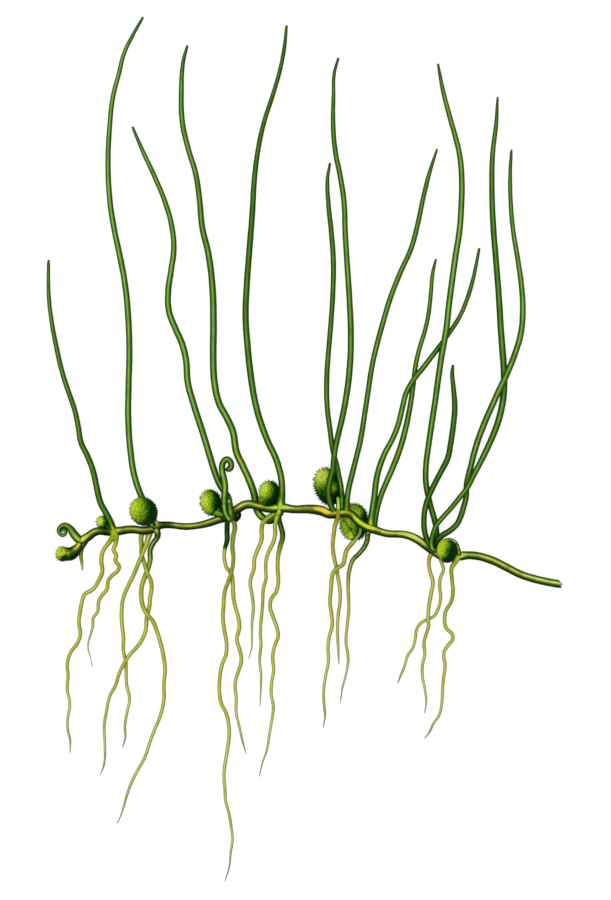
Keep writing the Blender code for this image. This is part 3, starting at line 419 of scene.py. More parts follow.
# The flare of each leaf's foot, its radii from the third share on, and its route
LEAVES = {
    1: (1.2, (0.385, 0.355, 0.325, 0.315, 0.285, 0.255, 0.235, 0.19), [
        (-22.8, -10, 0.8), (-22.88, -9.72, 0.98), (-23.05, -9.28, 1.12), (-23.26, -8.68, 1.2),
        (-23.82, -7.64, 1.2), (-24.47, -6.44, 1), (-24.95, -4.59, 0.75), (-25.4, -2.6, 0.55), (-26.1, -0.8),
        (-26.85, 0.8, 0.4), (-27.2, 2.8, 0.4), (-27.65, 4.8, 0.4), (-28.4, 7, 0.42), (-29.15, 9.4),
        (-29.85, 12.5), (-30.4, 15.5), (-30.72, 18.5, 0.42), (-30.75, 22.7, 0.36)]),
    2: (0.5, (0.39, 0.38, 0.385, 0.355, 0.315, 0.285, 0.255, 0.2), [
        (-17.35, -9.2, 1.25), (-17.7, -8.9, 1.35), (-18.05, -8.5, 1.1), (-18.65, -7.5), (-19.3, -6.3, 0.38),
        (-19.85, -5.1, 0.42), (-20.45, -3.2), (-20.9, -0.4), (-21.18, 3.5, 0.42), (-21.15, 7.5, 0.42),
        (-21.05, 11.5), (-21.2, 16, 0.5), (-21.6, 20, 0.55), (-22.2, 23.2, 0.6), (-22.85, 26.3, 0.6),
        (-23.4, 30, 0.55), (-23.6, 34.5, 0.5), (-23.4, 38.8), (-23, 42.3), (-22.3, 45, 0.42),
        (-21.7, 47.4, 0.4), (-20.7, 49.5, 0.38), (-19.4, 51.8, 0.34)]),
    3: (1.1, (0.4, 0.405, 0.4, 0.375, 0.325, 0.3, 0.27, 0.2), [
        (-8.8, -8.35, 1.9), (-8.8, -8, 2.2), (-8.9, -7.3, 2.35), (-9.02, -6.5, 1.75), (-9.22, -5.74, 1),
        (-9.74, -4.99, 0.55), (-10.35, -3.98), (-10.98, -2.28, 0.42), (-11.52, -0.48, 0.42),
        (-12.3, 2.1, 0.42), (-13.3, 5.2, 0.42), (-14.05, 8, 0.42), (-14.25, 10.6), (-14.7, 12.5),
        (-15.6, 14.6), (-16.3, 16.5), (-16.4, 18.8), (-16.05, 21.4), (-15.72, 24, 0.48), (-15.95, 26.6, 0.5),
        (-16.7, 29.4, 0.5), (-18, 32.6, 0.48), (-19.4, 35.6, 0.42), (-20.7, 38.65, 0.34)]),
    4: (1.2, (0.44, 0.42, 0.42, 0.385, 0.335, 0.33, 0.3, 0.22), [
        (-3, -7.55, 1.2), (-3.5, -8.05, 0.6), (-4.28, -8.58, 0.5), (-5.02, -8.24, 0.46), (-5.63, -7.55, 0.4),
        (-5.9, -6.59, 0.4), (-6.1, -5.39, 0.42), (-6.7, -3.68), (-7.45, -2.06), (-8.2, -0.4, 0.42),
        (-8.65, 2.1, 0.4), (-9.4, 3.8, 0.4), (-10.3, 5.5, 0.42), (-10.85, 8), (-11, 11), (-10.97, 15),
        (-11.1, 19.5, 0.5), (-11.6, 23.5, 0.55), (-12.3, 26.5, 0.6), (-12.65, 30, 0.6), (-13.1, 33, 0.55),
        (-14, 36, 0.5), (-14.7, 39.2), (-14.82, 43, 0.42), (-14.6, 46.4, 0.38), (-14.1, 48.4, 0.34)]),
    5: (1.85, (0.4, 0.405, 0.385, 0.365, 0.305, 0.275, 0.25, 0.22), [
        (-2.98, -7.2, 1.6), (-2.92, -6.85, 1.9), (-2.87, -6.3, 1.95), (-2.75, -5.2, 1.75),
        (-2.83, -3.6, 1.45), (-3.42, -1.32, 1.05), (-4.4, 0.8, 0.75), (-5.25, 3, 0.55), (-5.95, 5.5),
        (-6.5, 8.8, 0.42), (-6.9, 12.5, 0.42), (-7.12, 16, 0.42), (-6.95, 20), (-6.65, 24, 0.5),
        (-6.3, 28.5, 0.55), (-6.05, 32.5, 0.55), (-5.6, 36, 0.5), (-4.9, 39.2, 0.48), (-3.9, 42.3),
        (-3, 45.4, 0.42), (-2.45, 48.3, 0.38), (-2.2, 50.8, 0.34)]),
    6: (1, (0.33, 0.32, 0.32, 0.31, 0.325, 0.31, 0.255, 0.2), [
        (4.25, -7.7, 3.8), (4.33, -7.1, 3.75), (4.4, -6.1, 3.5), (4.33, -4.9, 3.1), (4.07, -3.41, 2.9),
        (3.77, -1.91, 2.65), (3.36, -0.31, 2.35), (3, 2.2, 1.9), (2.65, 5.2, 1.35), (2.6, 8.2, 0.9),
        (2.8, 11.5, 0.6), (3.1, 15, 0.48), (3.35, 19), (3.4, 22.5), (3.15, 26), (2.8, 29.5, 0.42),
        (2.7, 32.4, 0.4), (3, 34.3, 0.34)]),
    7: (1, (0.35, 0.39, 0.37, 0.34, 0.325, 0.295, 0.225, 0.2), [
        (3.75, -7.6, 3.9), (3.3, -7.15, 3.95), (2.95, -6.3, 3.9), (2.78, -5, 3.92), (2.95, -3.8, 3.9),
        (3.33, -2.3, 3.6), (3.48, -0.79, 3.2), (3.8, 1, 2.75), (4.4, 3.5, 2.1), (4.95, 6.4, 1.45),
        (5.35, 9.6, 0.9), (5.5, 13.4, 0.55), (5.35, 17.6), (5.05, 22.2), (4.82, 26, 0.5), (4.68, 29.6, 0.5),
        (4.2, 32.8, 0.5), (3.65, 35.6, 0.5), (3.38, 38.6, 0.48), (3.42, 42.5), (3.5, 45, 0.4),
        (4, 46.9, 0.34)]),
    8: (1.3, (0.35, 0.325, 0.33, 0.33, 0.31, 0.3, 0.26, 0.17), [
        (4.85, -7.6, 4.08), (4.92, -7.25, 4.1), (4.97, -6.8, 4.02), (5, -6, 3.85), (5.2, -4.7, 3.6),
        (5.6, -3.05, 3.1), (6.1, -1.1, 2.5), (6.65, 1.2, 1.9), (7.1, 3.9, 1.3), (7.55, 6.8, 0.85),
        (8.05, 10, 0.55), (8.6, 12.4), (9.3, 15), (10.2, 18, 0.48), (11.4, 21.1, 0.5), (12.7, 24, 0.5),
        (13.5, 26.9, 0.48), (14.15, 30), (14.95, 33.2, 0.4), (15.85, 36, 0.34)]),
    9: (1, (0.345, 0.37, 0.34, 0.3, 0.27, 0.255, 0.245, 0.18), [
        (8.3, -9.5, 2.95), (8.32, -8.95, 2.8), (8.54, -7.45, 2.75), (9, -5.75, 2.5), (9.7, -4, 2.1),
        (10.5, -2.2, 1.7), (11.35, 0, 1.3), (12.1, 2.7, 1), (12.65, 5.5, 0.85), (13, 8, 0.8),
        (13.25, 10, 0.8), (13.7, 12, 0.75), (14.4, 14.3, 0.6), (14.85, 16.5, 0.5), (15.1, 18.8),
        (15.3, 21, 0.4), (15.7, 22.8, 0.35)]),
    10: (1.5, (0.39, 0.345, 0.335, 0.325, 0.27, 0.27, 0.235, 0.19), [
        (7.78, -9.45, 3), (7.78, -9.1, 3.3), (7.82, -8.7, 3.45), (8, -7.45, 3.35), (8.27, -5.6, 3),
        (8.5, -3.77, 2.5), (8.85, -2.3, 2.1), (9.5, -0.6, 1.75), (10.45, 1.2, 1.6), (11.1, 2.8, 1.6),
        (11.65, 5, 1.7), (12.1, 6.7, 1.75), (13, 8.3, 1.6), (14.2, 9.8, 1.25), (15.2, 11.1, 0.85),
        (16.2, 12.4, 0.5), (17.2, 13.8, 0.42), (18.5, 15.8, 0.5), (19.4, 17.9, 0.6), (20.1, 20.2, 0.6),
        (20.5, 22, 0.5), (20.9, 24.1, 0.38)]),
    11: (1.1, (0.36, 0.37, 0.385, 0.38, 0.36, 0.32, 0.295, 0.2), [
        (15.2, -12.15, 0.8), (15.42, -11.62, 0.75), (15.72, -10.6, 0.7), (15.73, -9.6, 0.6),
        (15.5, -8.4, 0.5), (15.1, -7), (14.77, -5.6, 0.42), (14.5, -4.1, 0.42), (14.5, -2, 0.42), (14.75, 0),
        (15.15, 2.8, 0.6), (15.6, 5.8, 0.8), (16, 8.8, 1), (16.4, 11.5, 1.2), (16.9, 14.3, 1.2),
        (17.2, 17, 1), (17.6, 20, 0.8), (18.05, 23.2, 0.6), (18.5, 26, 0.5), (18.75, 29.5, 0.5),
        (18.78, 32.5, 0.55), (18.5, 35.4, 0.55), (18, 37.5, 0.5), (17.3, 40), (16.6, 42.7, 0.4),
        (16.15, 45, 0.36), (15.95, 46.2, 0.33)]),
    12: (1.1, (0.345, 0.35, 0.36, 0.36, 0.355, 0.31, 0.275, 0.21), [
        (14.85, -11.6, 1.1), (14.62, -10.95, 1.2), (14.32, -9.9, 1.3), (14.23, -8.5, 1.3), (14.4, -7, 1.25),
        (14.85, -5.6, 1.2), (15.5, -4.2, 1.05), (16.4, -2.5, 0.85), (17.1, -1.1, 0.65), (17.45, 0.6, 0.5),
        (17.75, 2.6), (17.95, 5), (17.8, 7.3), (17.65, 9, 0.42), (17.75, 10.1, 0.38)]),
    13: (1, (0.31, 0.4, 0.41, 0.375, 0.36, 0.325, 0.28, 0.19), [
        (15.95, -11.9, 1.3), (15.65, -12.08, 1.6), (15.3, -11.95, 1.85), (15.1, -11.5, 1.95),
        (15.12, -10.9, 1.92), (15.35, -10, 1.7), (15.7, -9.15, 1.5), (16.4, -8.25, 1.4), (17.45, -7.1, 1.35),
        (18.5, -5.8, 1.35), (19.4, -4.65, 1.3), (20.2, -3.1, 1.15), (21.3, -1, 0.9), (22.25, 1, 0.7),
        (23.15, 3.3, 0.5), (23.75, 6, 0.42), (23.87, 8.5, 0.4), (23.7, 11.5, 0.42), (23.5, 14),
        (23.25, 18, 0.5), (22.9, 22.5, 0.5), (22.55, 27, 0.5), (22.4, 31.5, 0.5), (22.5, 35.5, 0.48),
        (22.9, 38.8, 0.42), (23.1, 42.2, 0.35)]),
    14: (1.2, (0.355, 0.385, 0.385, 0.365, 0.305, 0.28, 0.25, 0.2), [
        (15.55, -11.5, 1.2), (15.9, -10.85, 1.45), (16.4, -10.35, 1.3), (17.3, -9.8, 1.05),
        (18.15, -9.05, 0.85), (18.65, -8.1, 0.65), (19, -7, 0.5), (19.3, -5.8, 0.42), (19.35, -4.7, 0.42),
        (19.5, -3.6, 0.42), (19.85, -2.2), (20.4, 0, 0.5), (21.3, 2.6, 0.65), (22.4, 5.2, 0.95),
        (23.4, 7.4, 1.15), (24.3, 9.3, 1.15), (25.2, 11.6, 0.95), (25.85, 13.8, 0.7), (26.1, 16.5, 0.5),
        (25.95, 19.5), (25.5, 22.8), (24.95, 26.2), (24.65, 29.8), (24.6, 33, 0.42), (24.75, 35.9, 0.35)]),
}
# How near to its end a thread is still thick, and how far above the surface it lies at least
BLUNT = 0.88
CLEAR = 0.03


def tapered(route, shares, radii):
    """The route with its radius at each point, and one point more close to its end to keep that blunt."""
    points = np.array(route)
    points = np.insert(points, -1, points[-2] * (1 - BLUNT) + points[-1] * BLUNT, axis=0)
    along = np.append(0, np.cumsum(np.linalg.norm(np.diff(points, axis=0), axis=1)))
    widths = np.interp(along / along[-1], shares, radii)
    points[:, 2] = np.maximum(points[:, 2], widths + CLEAR)
    return [(*map(float, point), float(width)) for point, width in zip(points, widths)]


leaf_skin = tissue("leaf_tissue", LEAF_TONES, LEAF_LIGHT, roughness=0.4,
                   grain_size=LEAF_GRAIN, grain_depth=LEAF_GRAIN_DEPTH, mottle=0.08, drift=0.1)
for number, (flare, radii, points) in LEAVES.items():
    route = [(*point, LEAF_LYING)[:3] for point in points]
    foot = [radii[0] * flare, radii[0] * (1 + FLARE_LEFT * (flare - 1)), radii[0]]
    leaf = grow(f"leaf_{number}_blade", tapered(route, LEAF_SHARES, [*foot, *radii, radii[-1] * END_LEFT]))
    roughen(leaf, 1.5 * MM, UNEVENNESS)
    smooth(leaf)
    greens = [(*(depth ** power for power in DARKENING), (depth - 1) * DIMMING)
              for depth in LEAF_DEPTHS[number]]
    stain_and_paint_light(leaf, route, LEAF_LIGHT, [*zip(DEPTH_SHARES, greens), (TIP_SHARE, LEAF_TIP)],
          LEAF_STAINS_AND_PAINTED_LIGHT.get(number, ()))
    leaf.data.materials.append(leaf_skin)
    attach(leaf, "root")
    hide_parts(f"leaf_{number}")


# The young leaves, which uncoil as they grow. Each is a soft green thread rolled up like a watch
# spring, thinnest at the tip in its middle.
# The young leaves' colours, from painted shade where they face away from the fixed light to a painted
# highlight where they face it
CROZIER_TONES = [
    (0, (0.003, 0.02, 0)), (0.5, (0.006, 0.034, 0.001)), (0.72, (0.018, 0.062, 0.002)),
    (0.87, (0.055, 0.14, 0.006)), (0.94, (0.12, 0.25, 0.015)), (0.98, (0.22, 0.39, 0.035)),
    (1, (0.34, 0.52, 0.06)),
]
CROZIERS = {
    1: [(-26.7, -11.1, 0.75, 0.42), (-27.06, -10.84, 0.82, 0.51), (-27.42, -10.5, 0.82, 0.53),
        (-27.76, -10.07, 0.72, 0.5), (-28.05, -9.64, 0.6, 0.44), (-28.44, -9.27, 0.5, 0.37),
        (-28.93, -9.15, 0.42, 0.33), (-29.33, -9.38, 0.38, 0.3), (-29.52, -9.8, 0.36, 0.27),
        (-29.36, -10.18, 0.36, 0.25), (-29.02, -10.33, 0.36, 0.23), (-28.72, -10.12, 0.36, 0.21),
        (-28.7, -9.8, 0.36, 0.19), (-28.92, -9.64, 0.38, 0.17), (-29.1, -9.8, 0.38, 0.15),
        (-29, -9.95, 0.38, 0.12)],
    2: [(-8.9, -8.55, 1.9, 0.3), (-9.1, -8.3, 2.3, 0.31), (-9.4, -7.85, 2.5, 0.32),
        (-9.59, -7.2, 2.45, 0.35), (-9.64, -6.4, 2.15, 0.38), (-9.62, -5.6, 1.75, 0.4),
        (-9.57, -4.6, 1.5, 0.41), (-9.66, -3.7, 1.4, 0.4), (-9.88, -2.8, 1.3, 0.4),
        (-9.92, -2.08, 1.25, 0.39), (-9.72, -1.5, 1.2, 0.39), (-9.36, -1.25, 1.2, 0.39),
        (-9.0, -1.46, 1.15, 0.38), (-8.84, -1.86, 1.1, 0.38), (-8.9, -2.24, 1.05, 0.37),
        (-9.16, -2.42, 1, 0.34), (-9.38, -2.22, 0.95, 0.28)],
}
# Stains on the coils together with painted light: yellower at the first one's base, and darker in the coils,
# which also dims their painted highlight
CROZIER_STAINS_AND_PAINTED_LIGHT = [
    (-26.75, -11, 0.9, (1.5, 1.2, 0.5, 0.04)), (-27.4, -10.4, 0.9, (1.05, 1.08, 1, 0.01)),
    (-29.1, -9.7, 1, (0.6, 0.75, 0.7, -0.02)), (-9.4, -1.9, 1.1, (0.5, 0.65, 0.6, -0.03)),
]
young_skin = tissue("young_leaf_tissue", CROZIER_TONES, LEAF_LIGHT, roughness=0.4,
                    grain_size=LEAF_GRAIN, grain_depth=LEAF_GRAIN_DEPTH, mottle=0.06, drift=0.1)
for number, route in CROZIERS.items():
    coil = grow(f"crozier_{number}_coil", route)
    roughen(coil, MM, UNEVENNESS)
    smooth(coil)
    stain_and_paint_light(coil, route, LEAF_LIGHT, PLAIN, CROZIER_STAINS_AND_PAINTED_LIGHT)
    coil.data.materials.append(young_skin)
    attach(coil, "root")
    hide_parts(f"crozier_{number}")


# The roots, thin limp threads that hang in groups below the nodes. They are straw-coloured, smooth
# and a little crooked, and some are still green where they leave the stem.
# The straw-coloured roots' colours, from painted shade where they face away from the fixed light to a
# painted highlight where they face it, and below the same for roots that are young and green
ROOT_TONES = [
    (0, (0.16, 0.175, 0.004)), (0.3, (0.2, 0.21, 0.007)), (0.6, (0.26, 0.265, 0.014)),
    (0.85, (0.35, 0.345, 0.026)), (0.96, (0.45, 0.435, 0.045)), (1, (0.62, 0.59, 0.13)),
]
YOUNG_ROOT_TONES = [
    (0, (0.003, 0.018, 0)), (0.6, (0.008, 0.036, 0.001)), (0.8, (0.02, 0.065, 0.003)),
    (0.92, (0.07, 0.15, 0.012)), (0.97, (0.2, 0.3, 0.04)), (1, (0.34, 0.45, 0.09)),
]
# The fixed light that the roots' painted highlight and shade are worked out from
ROOT_LIGHT = (-0.1, 0.06, 0.98)
# A root's radius in mm at each share of its length. A root with a list of its own follows that as
# far as it goes, and then this one.
ROOT_TAPER = [
    (0, 0.33), (0.02, 0.3), (0.08, 0.265), (0.3, 0.25), (0.5, 0.235), (0.65, 0.21), (0.8, 0.185),
    (0.9, 0.16), (0.96, 0.12), (1, 0.05),
]
ROOT_TAPERS = {
    1: [(0, 0.5), (0.13, 0.42), (0.25, 0.29), (0.5, 0.25), (0.7, 0.2), (0.9, 0.14), (1, 0.06)],
    2: [(0, 0.3), (0.012, 0.36), (0.03, 0.38), (0.05, 0.33)],
    3: [(0, 0.3), (0.02, 0.35), (0.045, 0.37), (0.075, 0.32), (0.1, 0.26), (0.5, 0.23),
        (0.7, 0.19), (0.8, 0.13), (0.9, 0.08), (1, 0.04)],
    5: [(0, 0.33), (0.025, 0.38), (0.065, 0.3), (0.1, 0.265)],
    6: [(0, 0.42), (0.02, 0.4), (0.04, 0.34), (0.12, 0.3), (0.3, 0.27), (0.6, 0.22), (0.9, 0.18),
        (1, 0.06)],
    7: [(0, 0.32), (0.136, 0.32), (0.141, 0.22), (0.25, 0.25), (0.6, 0.235), (0.8, 0.19),
        (0.95, 0.13), (1, 0.05)],
    8: [(0, 0.3), (0.06, 0.29), (0.12, 0.25), (0.4, 0.23), (0.6, 0.23), (0.75, 0.2), (0.9, 0.16),
        (1, 0.06)],
    9: [(0, 0.33), (0.1, 0.28), (0.5, 0.23), (0.7, 0.2), (0.85, 0.13), (0.93, 0.09), (1, 0.05)],
    10: [(0, 0.33), (0.06, 0.27), (0.3, 0.22), (0.6, 0.2), (0.8, 0.18), (0.9, 0.12), (1, 0.05)],
    11: [(0, 0.33), (0.04, 0.3), (0.13, 0.33), (0.2, 0.25), (0.5, 0.23), (0.75, 0.19),
         (0.9, 0.14), (1, 0.05)],
    12: [(0, 0.3), (0.02, 0.33), (0.07, 0.31), (0.12, 0.27)],
    13: [(0, 0.17), (0.07, 0.18), (0.11, 0.29), (0.2, 0.27), (0.45, 0.235), (0.75, 0.19),
         (0.9, 0.17), (1, 0.06)],
    14: [(0, 0.3), (0.06, 0.33), (0.15, 0.3), (0.3, 0.25), (0.45, 0.21), (0.75, 0.18),
         (0.9, 0.13), (1, 0.05)],
    15: [(0, 0.3), (0.02, 0.27), (0.08, 0.245), (0.3, 0.235), (0.65, 0.2), (0.9, 0.15), (1, 0.05)],
    16: [(0, 0.24), (0.025, 0.25), (0.06, 0.21), (0.3, 0.2), (0.8, 0.18), (0.93, 0.15), (1, 0.05)],
    17: [(0, 0.36), (0.025, 0.38), (0.055, 0.29), (0.1, 0.24), (0.4, 0.225), (0.65, 0.21)],
}
# The same height for a root
ROOT_LYING = 0.24
ROOTS = {
    1: [(-26.45, -11.05, 0.68), (-26.68, -11.6, 0.6), (-26.81, -12.1, 0.5), (-26.88, -12.6, 0.38),
        (-26.78, -13.5, 0.26), (-26.69, -14.6, 0.18)],
    2: [(-22.86, -9.6, 1.05), (-22.9, -9.95, 1.28), (-22.98, -10.4, 1.08), (-23.25, -10.9, 0.7),
        (-23.75, -11.55, 0.42), (-24.25, -12.3, 0.28), (-24.42, -13.4), (-24.3, -14.7), (-24.75, -15.8),
        (-25.5, -16.9), (-26.4, -17.4), (-26.75, -18.3), (-26.95, -19.4), (-27.12, -20.7), (-26.95, -22.2),
        (-27.3, -23.3), (-28.1, -24.4), (-28.5, -25.7), (-28.42, -27.2), (-28.52, -28.8), (-28.22, -30.4),
        (-28.48, -32.6), (-28.45, -33.7), (-28.15, -35, 0.22), (-28.2, -36.5, 0.18)],
    3: [(-22.76, -9.6, 1.05), (-22.72, -9.95, 1.28), (-22.62, -10.42, 1.08), (-22.62, -10.85, 0.75),
        (-22.72, -11.4, 0.48), (-22.95, -12.1, 0.28), (-22.65, -12.75), (-22.72, -13.45), (-22.3, -14.05),
        (-22.5, -14.65), (-23.15, -15.2), (-23.6, -15.8), (-23.75, -16.8), (-24.3, -17.5), (-24.72, -18.2),
        (-24.88, -19.5), (-25.4, -20.3), (-25.45, -21.3), (-25.8, -22.5, 0.22), (-26.03, -23.7, 0.2),
        (-25.75, -25, 0.16), (-25.47, -26.2, 0.12)],
    4: [(-19.3, -9.95, 0.9), (-19.62, -10.45, 0.6), (-19.6, -11.5, 0.35), (-19.59, -12.61),
        (-19.25, -13.7, 0.5), (-18.9, -14.8, 0.78), (-18.5, -15.7, 0.55), (-18.38, -16.6, 0.28),
        (-18.55, -17.7), (-18.68, -19), (-19, -20.3), (-19.08, -21.6), (-19.5, -22.8, 0.3),
        (-20.2, -23.8, 0.5), (-21.1, -24.8, 0.7), (-21.8, -25.9, 0.6), (-22.3, -27, 0.35), (-22.75, -28.4),
        (-23.4, -29.6), (-23.8, -31.4), (-24.08, -33.2), (-24, -35.5), (-24.1, -37.8, 0.22),
        (-24.6, -39.2, 0.16)],
    5: [(-18.4, -9.7, 0.95), (-18.67, -10.3, 0.72), (-19, -11.4, 0.78), (-19.5, -12.6, 0.85),
        (-20, -13.8, 0.68), (-20.55, -15.1, 0.35), (-21.2, -16.4), (-21.8, -17.9), (-22, -19.6),
        (-21.95, -21), (-21.78, -22.6), (-21.78, -24.2), (-21.5, -25.4), (-21.45, -26.6), (-21.4, -28.2),
        (-21.05, -29.9), (-21.35, -31.6), (-21.6, -33.3, 0.22), (-21.55, -34.6, 0.2), (-21.9, -35.9, 0.14)],
    6: [(-17.9, -9.5, 1.35), (-17.7, -9.85, 1.25), (-17.64, -10.25, 0.95), (-17.77, -10.71, 0.65),
        (-18.2, -11.3, 0.4), (-18.55, -12.1, 0.3), (-18.55, -13.2), (-18.8, -14.3), (-19.2, -15.3),
        (-19.6, -16.7), (-19.6, -18.1, 0.3), (-19.3, -19.15, 0.55), (-18.8, -19.95, 0.72),
        (-18.2, -20.7, 0.5), (-17.85, -21.6, 0.28), (-17.4, -23), (-17.02, -24.6), (-16.78, -26.3),
        (-16.92, -28.2), (-16.92, -30), (-17.35, -32), (-18.1, -33.8), (-18.65, -35.3), (-19.2, -36.95),
        (-20.05, -38.5), (-20.9, -40.2), (-21.5, -42), (-21.95, -43.6, 0.22), (-22.5, -44.9, 0.16)],
    7: [(-9.3, -8.2, 1.4), (-9.3, -8.8, 1.15), (-9.35, -9.8, 0.5), (-9.34, -10.9, 0.28), (-9.62, -12),
        (-9.67, -13.2), (-9.4, -14.25), (-8.85, -14.95), (-8.66, -16), (-8.6, -17.6), (-8.37, -18.9),
        (-7.95, -20.4), (-7.88, -21.5), (-8.17, -22.8), (-7.8, -24.2), (-7.63, -25.4), (-8, -26.7),
        (-8.38, -28.1), (-8.25, -29.8), (-8.25, -31.6), (-7.85, -33.4), (-7.5, -35, 0.2),
        (-7.07, -36.6, 0.14)],
    8: [(-8.8, -7.9, 1.4), (-8.55, -8.6, 1.15), (-8.4, -9.4, 0.6), (-8.6, -10.5, 0.3), (-8.7, -11.7, 0.26),
        (-8.58, -13.2, 0.4), (-8.8, -14.7, 0.7), (-9.2, -15.9, 0.6), (-9.62, -17.1, 0.28), (-9.76, -18.7),
        (-9.83, -20.5), (-9.6, -22.1), (-9.4, -23.4), (-9.5, -24.7), (-9.95, -25.9), (-10.2, -27.3),
        (-10.26, -29.2), (-10, -30.6), (-9.45, -31.7), (-9.15, -33.1), (-9.1, -34.5), (-9.3, -36),
        (-9.6, -37.9), (-9.72, -39.3), (-9.6, -40.9), (-9.5, -42.3), (-9.1, -43.8), (-8.83, -45.5),
        (-8.7, -46.9), (-8.9, -48.3, 0.22), (-9.1, -50.2, 0.2), (-9.6, -51.85, 0.14)],
    9: [(-3.4, -7.3, 1.6), (-3.9, -7.85, 1.42), (-4.5, -8.25, 1.3), (-5, -8.8, 1.1), (-5.2, -9.6, 0.65),
        (-5.2, -10.8, 0.3), (-5.6, -11.9), (-6.05, -13.1), (-6.15, -14.5), (-6.5, -15.5), (-6.55, -16.4),
        (-6.33, -17.6), (-6.2, -19.1), (-6.35, -20.8), (-6.36, -22.4, 0.22), (-6.42, -23.9, 0.18),
        (-6.75, -25.2, 0.12)],
    10: [(-2.98, -7.1, 2.12), (-3.1, -7.45, 2), (-3.28, -7.85, 1.6), (-3.42, -8.4, 1.25), (-3.6, -9.2, 0.75),
         (-3.58, -10, 0.4), (-3.75, -11, 0.26), (-4.25, -12.1), (-4.62, -13.1), (-4.72, -14.4),
         (-4.68, -15.6), (-4.98, -16.7), (-5.08, -18.4), (-5.2, -20), (-5.35, -21.8), (-5.28, -23.6),
         (-5.45, -25.3), (-5.28, -27, 0.22), (-5.3, -28.8, 0.2), (-5.4, -30.9, 0.15)],
    11: [(-2.95, -7.2, 1.6), (-3.05, -7.68, 1.05), (-3.1, -8.4, 0.62), (-2.89, -9.3, 0.4),
         (-2.67, -10.4, 0.28), (-2.95, -11.6), (-3.22, -12.8), (-3.28, -14.4), (-3.2, -15.8), (-3.45, -17.1),
         (-4.05, -18), (-4.17, -19), (-3.8, -20.2), (-3.35, -21.5), (-3.22, -22.5), (-3.6, -23.5),
         (-3.88, -24.9), (-3.75, -26.5), (-4, -28), (-4.05, -29.4), (-3.8, -30.9), (-4, -32.6),
         (-4.3, -34.4), (-4.6, -36.2, 0.22), (-5.1, -37.6, 0.18), (-5.47, -39.3, 0.13)],
    12: [(3.98, -7.15, 3.9), (3.96, -7.5, 4.27), (3.92, -7.95, 4.12), (3.8, -8.45, 3.55), (3.58, -9.09, 2.9),
         (3.47, -9.9, 2.2), (3.35, -10.9, 1.3), (3.34, -12, 0.55), (3.5, -13.1, 0.28), (3.78, -14.3),
         (3.92, -15.2), (4.2, -16.9), (4.2, -18.4), (3.97, -20), (3.9, -21.6), (3.97, -23.6),
         (4.08, -25.9, 0.2)],
    13: [(6.4, -8.8, 3.7), (6.6, -9.5, 3.65), (6.45, -10.2, 3.35), (6.1, -10.65, 3.1), (5.75, -11.1, 2.6),
         (5.35, -11.6, 1.8), (4.95, -12.2, 1.1), (4.75, -13.1, 0.8), (4.55, -13.8, 0.75), (4, -14.2, 0.75),
         (3.45, -14.7, 0.72), (3.2, -15.6, 0.4), (3.12, -16.7, 0.25), (3, -18.4), (3.2, -20), (3.28, -21),
         (2.9, -22.6), (2.75, -24), (2.82, -25.3), (2.5, -27.1), (2.25, -28.9), (2.28, -30.6), (2.4, -32),
         (2.18, -33.4, 0.18)],
    14: [(7.65, -9.3, 3.45), (7.55, -9.8, 3.35), (7.46, -10.3, 2.9), (7.42, -10.9, 2.2), (7.1, -11.7, 1.4),
         (6.5, -12.5, 0.8), (5.75, -13.3, 0.4), (5.35, -14.4, 0.26), (5.18, -16), (5.22, -17.8),
         (5.25, -19.3), (5.05, -21.2), (4.92, -23.2), (5.18, -25.2), (4.95, -26.9), (4.5, -28.6, 0.22),
         (4.22, -30.5, 0.18)],
    15: [(15.35, -12.25, 0.8), (15.03, -12.74, 0.76), (14.9, -13.2, 0.5), (14.85, -13.9, 0.28),
         (15.05, -14.9), (15.33, -15.9), (15.2, -17), (14.95, -18.2, 0.35), (14.78, -19.4, 0.65),
         (14.75, -20.4, 0.72), (14.8, -21.3, 0.5), (14.5, -22.3, 0.28), (14.27, -23.3), (14.36, -24.6),
         (14.08, -26), (14.1, -27.4), (14.38, -28.8, 0.22), (14.53, -30.5, 0.18), (14.33, -31.7, 0.13)],
    16: [(16.1, -12.65, 0.58), (16.24, -13.2, 0.4), (16.42, -13.75, 0.3), (16.6, -14.5), (16.25, -15.4),
         (16.15, -16.5), (16.27, -17.8), (16, -19.1), (15.5, -20), (14.75, -20.42), (14, -20.8),
         (13.4, -21.6), (13.22, -22.8), (12.9, -23.9), (12.3, -24.8), (11.95, -26), (11.5, -27.1, 0.2),
         (11.08, -28.2, 0.14)],
    17: [(18.45, -12.65, 0.82), (18.26, -13.1, 0.8), (17.94, -13.65, 0.55), (17.58, -14.29, 0.34),
         (17.62, -15.5), (17.75, -17.2), (17.5, -18.4), (16.95, -19.3), (16.74, -20.3), (16.95, -21.5),
         (17.65, -22.2), (17.72, -22.8), (17.1, -23.6), (16.65, -24.5), (16.8, -26), (16.6, -27.6),
         (16.48, -29.2), (16.38, -30.7), (16.1, -31.9), (15.4, -32.95, 0.22), (14.9, -34, 0.18),
         (14.3, -34.75, 0.13)],
}
